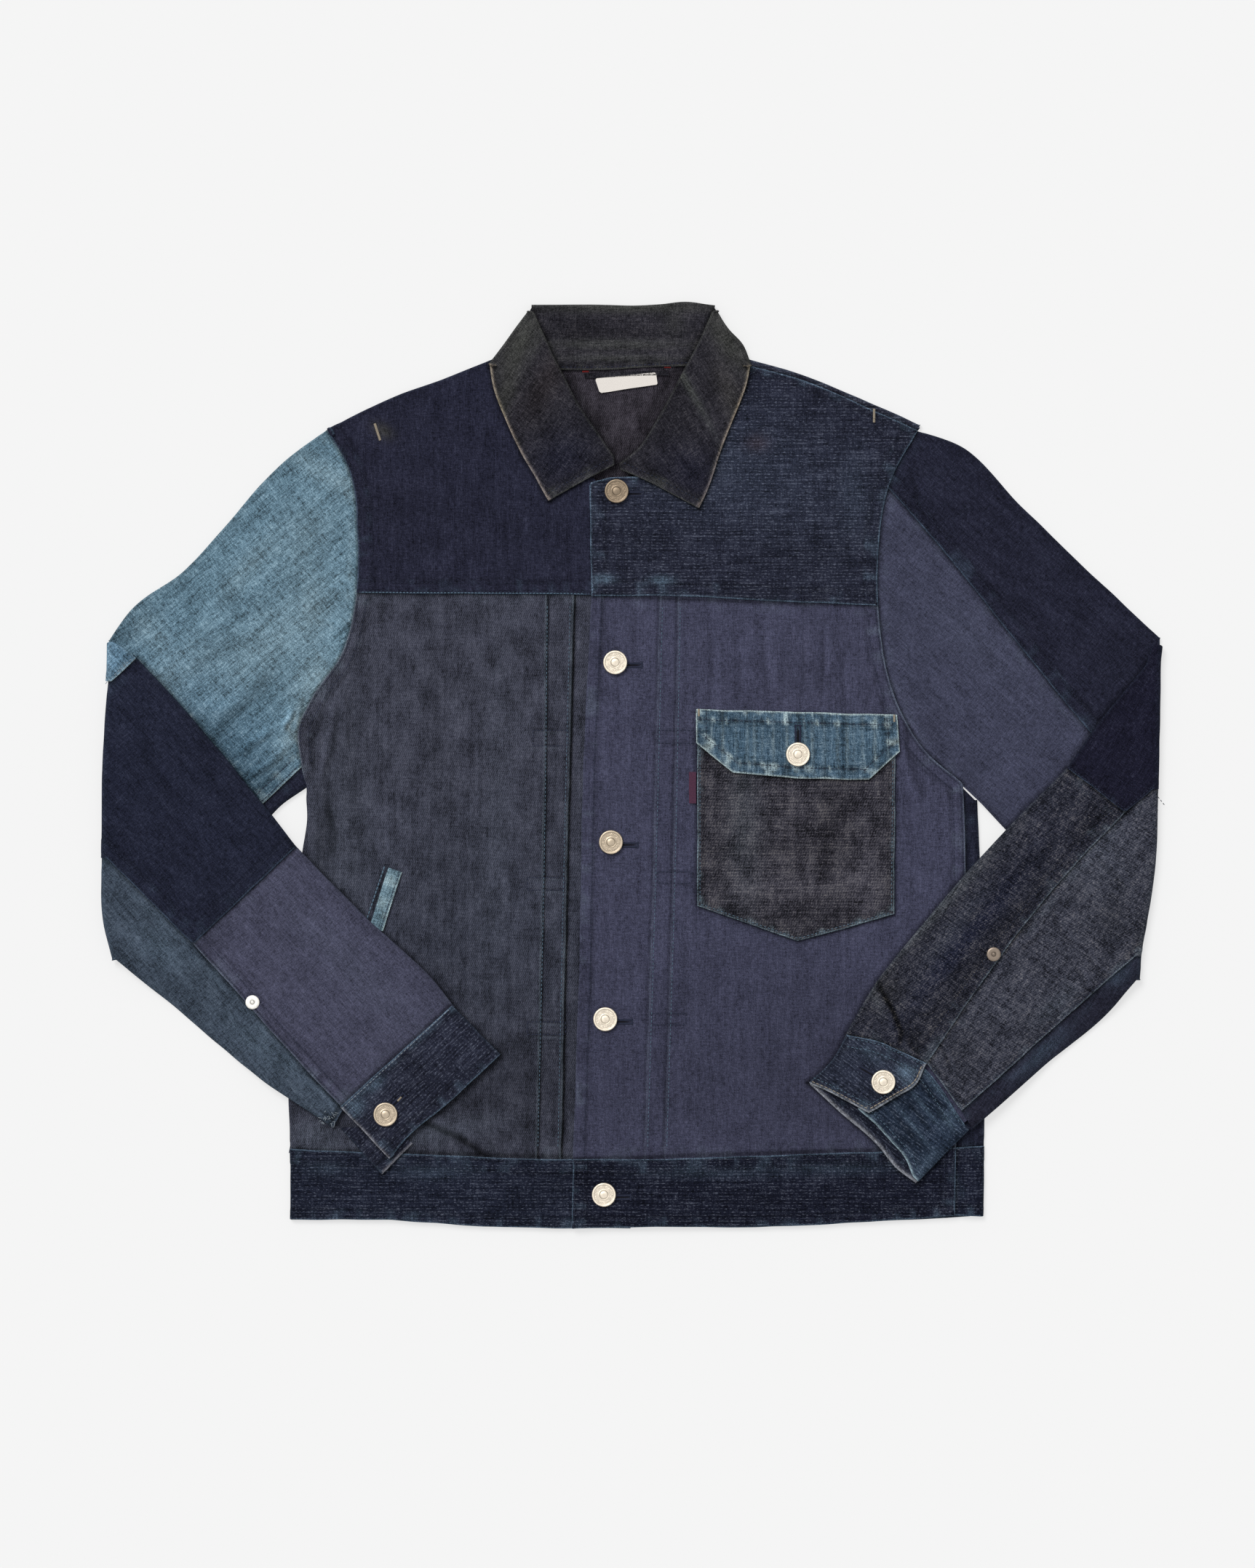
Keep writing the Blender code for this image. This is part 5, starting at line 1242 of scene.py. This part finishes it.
def collar():
    """Stand and fall at the back, the two leaves in front, the hanger loop and the bare label."""
    def stand_top(x, y):
        return STAND_LOW + STAND_RISE * ease((y - 280.0) / 40.0)

    def leaf_top(x, y, front):
        near = ease(1.0 - distance(x, y, "leaf_roll_r", "leaf_roll_l") / ROLL_WIDE)
        return np.maximum(front(x, y) + 2 * CLEAR + WALL, LEAF_LOW) + ROLL_LIFT * near

    cloth("collar_back", "black",
          ("collar_top", ((58, 325), (60.5, 321), (57, 303), (46, 282)),
           joined(((-57, 279), (-49, 279)), "neck_seam", ((38, 282), (46, 282))),
           ((-69, 325), (-71.5, 321), (-67, 306), (-57, 279))), stand_top, "collar_top butt lap butt",
          grain=0.0, tint=1.05, layer="collar")
    cloth("collar_leaf_right", "black",
          (joined("leaf_side_r", ((-70, 324), (-69, 325.5))),
           joined(((-69, 325.5), (-68.5, 320)), smooth("leaf_roll_r")[12:]), "leaf_front_r", "leaf_free_r"),
          lambda x, y: leaf_top(x, y, right_front_top), "leaf_side leaf_roll hem leaf_free", grain=55.0,
          layer="collar", rests=("front_yoke_right",), held="folded")
    cloth("collar_leaf_left", "black",
          (joined(((58.3, 325), (59, 324)), "leaf_side_l"), "leaf_free_l", "leaf_front_l",
           joined(((58.3, 325), (57.4, 320)), smooth("leaf_roll_l")[12:])),
          lambda x, y: leaf_top(x, y, left_front_top), "leaf_side leaf_free hem leaf_roll", grain=125.0,
          layer="collar", rests=("front_yoke_left",), held="folded")
    cloth("hanger_loop", "black", quad((-33, 277), (27, 279), (27.5, 275), (-32.5, 273)),
          level(WALL + CLEAR + WALL), grain=0.0, tint=0.8, pitch=1.0, rests=("back_yoke",))
    cloth("neck_label", "white",
          (((-24.2, 273.4), (17, 277.2)), ((17, 277.2), (18.2, 276), (19.2, 269.2), (18.4, 268.1)),
           ((-20.8, 262.6), (18.4, 268.1)), ((-24.2, 273.4), (-25, 272), (-22.3, 263.5), (-20.8, 262.6))),
          level(WALL + CLEAR + WALL), pitch=1.0, rests=("back_yoke",))


# ---- sleeves ----------------------------------------------------------------------------------------
def sleeve_right():
    """Sky-blue upper arm, navy elbow, slate forearm and teal under-sleeve, folded at the elbow."""
    back_seam = straight((-309, -127), (-271, -169), (-226, -219), (-205, -241))
    cloth("sleeve_right_upper", "sky",
          ("over_r", "armhole_r", "under_seam_r", ((-369, 88), (-369, -122))), front_top,
          "floor under fell floor", grain=40.0, layer="arm_r", insets={"left": 1.4, "right": -2.5},
          rests=("sleeve_right_back",))
    cloth("sleeve_right_underarm", "navy",
          ("under_seam_r", ((-233, -2), (-230, -17)), "under_r", ((-369, -122), (-366, -136))), front_top,
          "under butt floor floor", grain=40.0, insets={"left": 6.0, "right": -3.0}, layer="arm_r",
          tint=0.85)
    cloth("sleeve_right_back", "sky", ("over_r", "armhole_r", "under_r", ((-369, 88), (-366, -136))),
          level(0.0), grain=40.0, pitch=4.0,
          insets={"top": PAST_LIP + 3, "bottom": PAST_LIP + 3, "left": PAST_FOLD}, down=True)
    cloth("sleeve_right_forearm_front", "slate",
          ("fore_over_r", ((-126, -169), (-213, -255)), "under_fore_r", ((-364, 87), (-367, -135))),
          over(forearm_rest, gap=0.1), grain=-48.0, pitch=5.0,
          insets={"top": PAST_LIP + 3, "bottom": PAST_LIP + 1, "left": PAST_FOLD + 2}, layer="none",
          rests=("sleeve_right_upper", "front_panel_right"), held="folded")
    cloth("sleeve_right_turn", "sky", quad((-370.5, 89), (-361, 84), (-349, 75), (-371, 54)), forearm_top,
          "turned tube lap fold", tint=(1.2, 1.24, 1.34), pitch=1.2, thread="pale", **RIGHT_FOREARM)
    cloth("sleeve_right_elbow", "navy",
          (((-370, 54), (-349, 75)), "elbow_over_r", ((-374, -62), (-309, -127), (-236, -58)),
           "elbow_fold_r"), forearm_top, "under tube fell fold", tint=(0.86, 0.90, 0.92), worn=0.7,
          rests=("sleeve_right_upper",), **RIGHT_FOREARM)
    cloth("sleeve_right_lower", "slate",
          (((-309, -127), (-236, -58)), "lower_over_r", ((-205, -241), (-126, -169)), back_seam),
          forearm_top, "under tube under fell", tint=(1.16, 1.15, 1.09), rests=("front_panel_right",),
          worn=0.8, **RIGHT_FOREARM)
    cloth("sleeve_right_under", "teal",
          (joined(((-374, -62), (-309, -127)), back_seam), ((-205, -241), (-213, -255)), "under_fore_r",
           "fore_fold_r"), forearm_top, "under under tube fold", **RIGHT_FOREARM)
    cloth("cuff_right", "slub",
          (((-205, -242), (-126, -170)), ((-126, -170), (-92, -205)), "cuff_mouth_r",
           ((-205, -242), (-170, -279))), cuff_top, "lap cuff_fold hem mouth", grain=133.0,
          tint=(1.02, 1.03, 1.02), layer="fore_r", held="folded",
          rests=("front_panel_right", "waistband_right"))
    cloth("cuff_right_underlap", "slub", quad((-206, -256), (-168, -256), (-154, -268), (-176, -290)),
          over(forearm_rest, BAND_WALL, 0.1), "butt butt mouth tube", grain=133.0, layer="none",
          held="folded", rests=("front_panel_right", "waistband_right"))


def sleeve_left():
    """Navy over-arm, slate front, navy elbow, charcoal forearm and a navy strip, folded at the elbow."""
    hidden = {"right": 2.8, "left": -2.5}
    cloth("sleeve_left_over", "navy",
          ("over_l", "fold_over_l", "front_seam_l", between("armhole_l", 236, 195)), front_top,
          "floor floor fell under", grain=-42.0, tint=(0.92, 0.88, 0.88), insets=hidden, layer="arm_l",
          rests=("sleeve_left_back",), worn=0.8)
    cloth("sleeve_left_front", "slate",
          ("front_seam_l", "fold_front_l", "under_l", between("armhole_l", 195, -14)), front_top,
          "under floor floor under", grain=-42.0, tint=(0.97, 1.0, 0.98), insets=hidden, layer="arm_l",
          rests=("sleeve_left_back",))
    cloth("sleeve_left_back", "navy",
          ("over_l", ((375, 88), (360, -128)), ((222, 12), (270, -39), (360, -128)),
           ((205, 236), (188, 198), (180, 150), (180, 112), (184, 76), (197, 40), (222, 12))), level(0.0),
          grain=-42.0, pitch=4.0, insets={"top": PAST_LIP + 1, "right": PAST_FOLD + 2}, down=True)
    cloth("sleeve_left_forearm_front", "slate",
          ("full_over_l", ((369, 78), (360, -149)), "under_fore_l", ((152, -190), (241, -258))),
          over(forearm_rest, gap=0.1), grain=56.0, pitch=5.0,
          insets={"top": PAST_LIP + 2, "bottom": PAST_LIP + 1, "right": PAST_FOLD + 2}, layer="none",
          rests=("sleeve_left_front", "front_panel_left"), held="folded")
    cloth("sleeve_left_elbow", "navy",
          (((367, 83), (376, 86)), joined(((376, 86), (375, 74)), "elbow_fold_l"),
           ((308, -3), (349, -34), (373, -14)), joined(((367, 83), (364, 71)), smooth("elbow_over_l")[8:])),
          forearm_top, "turned fold flush tube", tint=(0.60, 0.54, 0.62), rests=("sleeve_left_front",),
          worn=0.6, **LEFT_FOREARM)
    cloth("sleeve_left_forearm", "heather",
          (((308, -3), (349, -34)), "fore_seam_l", "cuff_seam_l", "fore_over_l"), forearm_top,
          "under fell under tube", tint=(0.57, 0.57, 0.62), pitch=1.2, rests=("front_panel_left",),
          **LEFT_FOREARM)
    cloth("sleeve_left_middle", "heather",
          (((349, -34), (373, -14)), "fore_fold_l", ((209, -211), (233, -245), (361, -131)), "fore_seam_l"),
          forearm_top, "under fold lap under", pitch=1.2, insets={"right": 4.2},
          rests=("sleeve_left_front", "front_panel_left"), **LEFT_FOREARM)
    cloth("sleeve_left_under", "navy",
          (((233, -245), (361, -131)), ((361, -131), (360, -149)), "under_fore_l",
           ((233, -245), (241, -258))), forearm_top, "under fold tube butt",
          insets={"right": 4.2, "top": -1.0}, tint=(0.95, 0.88, 0.8), **LEFT_FOREARM)


def cuff_left():
    """The buttoned left cuff: its rear wall with both folds, and the two ends that lap in front."""
    cloth("cuff_left", "slub",
          (((152, -191), (241, -258)), ((241, -258), (203, -297)), "cuff_rear_mouth_l", "cuff_fold_l"),
          forearm_rest, "butt butt mouth butt", grain=53.0, tint=(0.9, 0.95, 0.95),
          insets={"left": 2.0, "right": 2.0}, layer="none", held="folded", down=True)
    cloth("cuff_left_button_end", "slub",
          ("cuff_under_seam_l", ((240, -257), (203, -295)),
           joined("cuff_under_mouth_l", ((199, -291), (203, -295))), ((190, -204), (160, -243))),
          over(forearm_rest, BAND_WALL, BAND_WALL + CLEAR), "fell cuff_side mouth butt",
          tint=(1.05, 1.45, 1.45), rests=("sleeve_left_under",), **LEFT_CUFF)
    cloth("cuff_left_lap", "slub", ("cuff_seam_l", "cuff_lap_l", "cuff_mouth_l", "cuff_fold_l"), lap_top,
          "fell mouth mouth cuff_side", insets={"left": 1.3, "top": 0.5}, tint=(1.25, 1.35, 1.30),
          rests=("cuff_left_button_end",), **LEFT_CUFF)


# ---- details of the seams ---------------------------------------------------------------------------
def beside(name, step):
    """A drafted line moved sideways and shortened a little at both ends."""
    line = smooth(name) + np.array([step, 0.0])
    return spread(at(line, np.linspace(*ROW_ENDS, ROW_SAMPLES)))


def box_of_stitches(name, x0, x1, y0, y1):
    """A stitched box that holds a pleat down."""
    for a, b in (((x0, y0), (x1, y0)), ((x0, y1), (x1, y1)), ((x0, y0), (x0, y1)), ((x1, y0), (x1, y1))):
        stitch_row(name, "indigo", straight(a, b), 2.6, 0.7)


YARN_LONG, YARN_RISE, YARN_THICK = 3.0, 0.3, 0.4    # a torn end's mean length, height and width


def fray(name, thread, centre, wide, count):
    """Loose ends of torn yarn, lying every way about a place."""
    for k in range(count):
        shift = np.array([hashed(k, 1, 5), 0.6 * hashed(k, 2, 5)]) * wide
        angle = pi * float(hashed(k, 3, 5))
        a = np.array(centre, float) + shift
        b = a + (YARN_LONG + float(hashed(k, 4, 5))) * np.array([cos(angle), sin(angle)])
        z = on_cloth(name, [a])[0] + YARN_RISE
        sewn[thread].append(((*a, z), (*b, z), YARN_THICK))


def sewing():
    """Pleat stitching, stitched boxes, a torn edge, buttonholes and bartacks."""
    for name, line, step in (("front_panel_right", "pleat_edge_r", -1.6),
                             ("front_panel_right", "pleat_outer_r", 1.2),
                             ("front_panel_left", "pleat_edge_l", 1.6),
                             ("front_panel_left", "pleat_outer_l", 1.2)):
        stitch_row(name, "blue", beside(line, step))
    stitch_row("front_panel_right", "blue", straight((-173.9, -72), (-187.3, -112)), 3.0, 1.1, 1.0)
    stitch_row("cuff_left_lap", "beige", inside(smooth("cuff_lap_l"), "right", 2.4), 3.0, 0.7, 1.0)
    stitch_row("cuff_left_lap", "beige", inside(smooth("cuff_mouth_l"), "bottom", 2.2), 3.0, 0.5, 0.9)
    for name, *box in (("front_panel_right", -69, -44, 24, 13), ("front_panel_right", -73, -47, -80, -89),
                       ("front_panel_right", -73, -46, -182, -191), ("front_panel_left", 19, 45, 24, 15),
                       ("front_panel_left", 19, 43, -76, -84), ("front_panel_left", 15, 39, -176, -184)):
        box_of_stitches(name, *box)
    fray("sleeve_right_under", "pale", (-214, -250), 7.0, 22)
    stitch_row("cuff_right", "pale", straight((-204, -243.3), (-127.5, -172.5)))
    stitch_row("front_yoke_right", "blue", straight((-190, 121.6), (-33, 120.6)), 2.4, 0.8)
    for number, row in enumerate((
            ("front_yoke_left", (-1.5, 191), 0), ("front_panel_left", (-2.5, 70), 0),
            ("front_panel_left", (-5.5, -57), 0), ("front_panel_left", (-9.5, -182), 0),
            ("waistband_left", (-10.5, -306), 0), ("chest_pocket_flap", (118, 17), 90, 1.6),
            ("cuff_right", (-167, -240.5), 46), ("cuff_left_lap", (170, -219), 150))):
        buttonhole(number, *row)
    for row in (("cuff_right", "beige", (-163.2, -236.2), 46, 3.4, 1.8),
                ("front_yoke_right", "beige", (-179, 235), -72, 12, 2.2),
                ("front_yoke_left", "beige", (172, 246.5), 90, 9, 2.0),
                ("back_yoke", "red", (-32, 278), 0, 4, 1.6), ("back_yoke", "red", (26, 281), 0, 4, 1.6),
                ("chest_pocket_flap", "beige", (48, 36.5), 90, 4.5, 1.8),
                ("chest_pocket_flap", "beige", (186, 32.5), 90, 4.5, 1.8)):
        bar(*row)


# ---- hardware ---------------------------------------------------------------------------------------
# Turned outlines (radius, height above the seat) of the tack button's cap and of the rivet.
CAP = ((0.0, 2.75), (1.2, 2.72), (2.1, 2.55), (2.7, 2.25), (2.95, 2.05), (3.2, 2.15), (3.5, 2.35),
       (3.8, 2.2), (4.1, 2.1), (4.6, 2.1), (5.8, 2.12), (6.6, 2.1), (6.95, 2.2), (7.3, 2.45), (7.8, 2.5),
       (8.25, 2.25), (8.5, 1.75), (8.35, 1.3), (7.6, 0.9), (3.5, 0.7), (3.2, 0.0), (0.0, 0.0))
RIVET = ((0.0, 1.6), (0.7, 1.55), (1.1, 1.25), (1.4, 1.0), (2.4, 1.1), (3.8, 1.1), (4.6, 0.9), (5.0, 0.5),
         (4.6, 0.05), (0.0, 0.0))
TURNED_STEPS = 5                # rings between two places of an outline
KNURL = (4.4, 6.8, 30, 0.16)    # ring of the cap that is knurled: from, to, ribs, depth
# Painted shade on the cap and the rivet: dark rings in their grooves and on the centre: place, width, how
# dark.
CAP_GROOVE_SHADE = ((2.95, 0.35, 0.5), (4.2, 0.3, 0.3), (6.95, 0.3, 0.35), (8.4, 0.3, 0.4), (0.0, 1.7, 0.22))
RIVET_GROOVE_SHADE = ((1.45, 0.45, 0.6), (0.0, 0.4, 0.35), (4.9, 0.4, 0.4))
# Node and metal of each.
BUTTONS = {"button_front_1": "bronze", "button_front_2": "bright", "button_front_3": "metal",
           "button_front_4": "bright", "button_front_5": "bright", "button_flap": "bright",
           "cuff_button_right": "metal", "cuff_button_left": "bright"}
RIVETS = {"sleeve_rivet_right": "nickel", "sleeve_rivet_left": "copper"}


def turned(name, node, metal, outline, steps_round, grooves, knurl=None):
    """A detailed turned piece standing where its CAD node stands."""
    low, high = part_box(node)
    x, y, z = (low[0] + high[0]) / 2, (low[1] + high[1]) / 2, low[2]
    profile = np.array(outline)
    f = np.linspace(0.0, 1.0, TURNED_STEPS, endpoint=False)
    profile = np.concatenate([a + (b - a) * f[:, None] for a, b in zip(profile[:-1], profile[1:])]
                             + [profile[-1:]])
    turn = np.linspace(0.0, 2 * pi, steps_round, endpoint=False)
    r, h = profile[:, 0][:, None], profile[:, 1][:, None] * np.ones_like(turn)[None]
    dark = np.zeros_like(h)
    if knurl:
        first, last, ribs, depth = knurl
        ring = ease((r - first) / 0.4) * ease((last - r) / 0.4) * (h > 1.5)
        wobble = noise(turn[None] * 9.0, r * 2.2, 1.3, sum(map(ord, node)))
        ribbed = 0.55 * np.cos(ribs * turn + 2.0 * r) + 0.6 * wobble
        h = h + ring * depth * ribbed
        # painted shade between the knurl's ribs
        dark = 0.22 * ring * (1.0 - ribbed)
    # painted shade in the grooves and on the centre
    for place, width, amount in grooves:
        dark = dark + amount * bell((r - place) / width) * (h > 0.9)
    places = np.stack([x + r * MM * np.cos(turn), y + r * MM * np.sin(turn), z + h * MM], axis=-1)
    rows, cols = places.shape[:2]
    faces = []
    for i in range(rows - 1):
        for j in range(cols):
            k = (j + 1) % cols
            faces.append((i * cols + j, (i + 1) * cols + j, (i + 1) * cols + k, i * cols + k))
    paint = np.repeat((1.0 - dark)[..., None], 4, axis=-1)
    piece = add_piece(name, places, faces, MATERIALS[metal], paint=paint)
    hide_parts(node)


def hardware():
    """The tack buttons and the two sleeve rivets."""
    for name, metal in BUTTONS.items():
        turned("tack_" + name, name, metal, CAP, 96, CAP_GROOVE_SHADE, KNURL)
    for name, metal in RIVETS.items():
        turned("burr_" + name, name, metal, RIVET, 48, RIVET_GROOVE_SHADE)


# ---- light, floor and camera ------------------------------------------------------------------------
PALE = 0.913        # the studio's background
SKY_LIGHT, SUN_LIGHT = 0.50, 0.50
SUN_TILT, SUN_TURN, SUN_SPREAD = 42.0, 125.0, 30.0    # degrees
FLOOR_SIDE, FLOOR_DROP = 4.0, 0.0002      # metres
EYE = (-2.3, -13.9, 3083.0)               # the camera, in mm
FLOOR_GLOW = 0.7    # how much of the floor's light is its own, so that shadows on it stay faint


def studio():
    """A plain sky and one broad lamp, the pale floor, and the camera straight above."""
    scene = bpy.context.scene
    world = bpy.data.worlds.new("studio")
    world.use_nodes = True
    tree = world.node_tree
    sky = tree.nodes["Background"]
    sky.inputs["Color"].default_value = (1.0, 1.0, 1.0, 1.0)
    path = tree.nodes.new("ShaderNodeLightPath").outputs

    def worked(operation, *values):
        node = tree.nodes.new("ShaderNodeMath")
        node.operation = operation
        for socket, value in zip(node.inputs, values):
            if isinstance(value, float):
                socket.default_value = value
            else:
                tree.links.new(value, socket)
        return node.outputs[0]

    clear = worked("MAXIMUM", path["Is Glossy Ray"], path["Is Transmission Ray"])
    seen = worked("MAXIMUM", path["Is Camera Ray"], clear)
    tree.links.new(worked("MULTIPLY_ADD", seen, PALE - SKY_LIGHT, SKY_LIGHT), sky.inputs["Strength"])
    scene.world = world
    light = bpy.data.lights.new("softbox", "SUN")
    light.energy = SUN_LIGHT * pi / cos(radians(SUN_TILT))
    light.angle = radians(SUN_SPREAD)
    sun = bpy.data.objects.new("softbox", light)
    toward = Vector((sin(radians(SUN_TILT)) * cos(radians(SUN_TURN)),
                     sin(radians(SUN_TILT)) * sin(radians(SUN_TURN)), cos(radians(SUN_TILT))))
    sun.rotation_euler = toward.to_track_quat("Z", "Y").to_euler()
    scene.collection.objects.link(sun)
    mesh = bpy.data.meshes.new("floor")
    mesh.from_pydata(
        [(FLOOR_SIDE * a, FLOOR_SIDE * b, 0) for a, b in ((-1, -1), (1, -1), (1, 1), (-1, 1))],
        [], [(0, 1, 2, 3)])
    mesh.materials.append(Nodes("paper_floor").surface({
        "Roughness": 0.9, "Specular IOR Level": 0.0, "Emission Color": (PALE, PALE, PALE, 1.0),
        "Emission Strength": FLOOR_GLOW, "Base Color": tuple([PALE * (1.0 - FLOOR_GLOW)] * 3) + (1.0,)}))
    floor = bpy.data.objects.new("floor", mesh)
    floor.location.z = -FLOOR_DROP
    scene.collection.objects.link(floor)
    camera = bpy.data.cameras.new("camera")
    camera.lens = 100.0
    camera.sensor_width = 36.0
    camera.sensor_fit = "AUTO"
    eye = bpy.data.objects.new("camera", camera)
    eye.location = tuple(v * MM for v in EYE)
    scene.collection.objects.link(eye)
    scene.camera = eye
    scene.view_settings.view_transform = "Standard"


backs()
fronts()
waistbands()
pockets()
collar()
sleeve_right()
sleeve_left()
cuff_left()
sewing()
sew_all()
hardware()
studio()
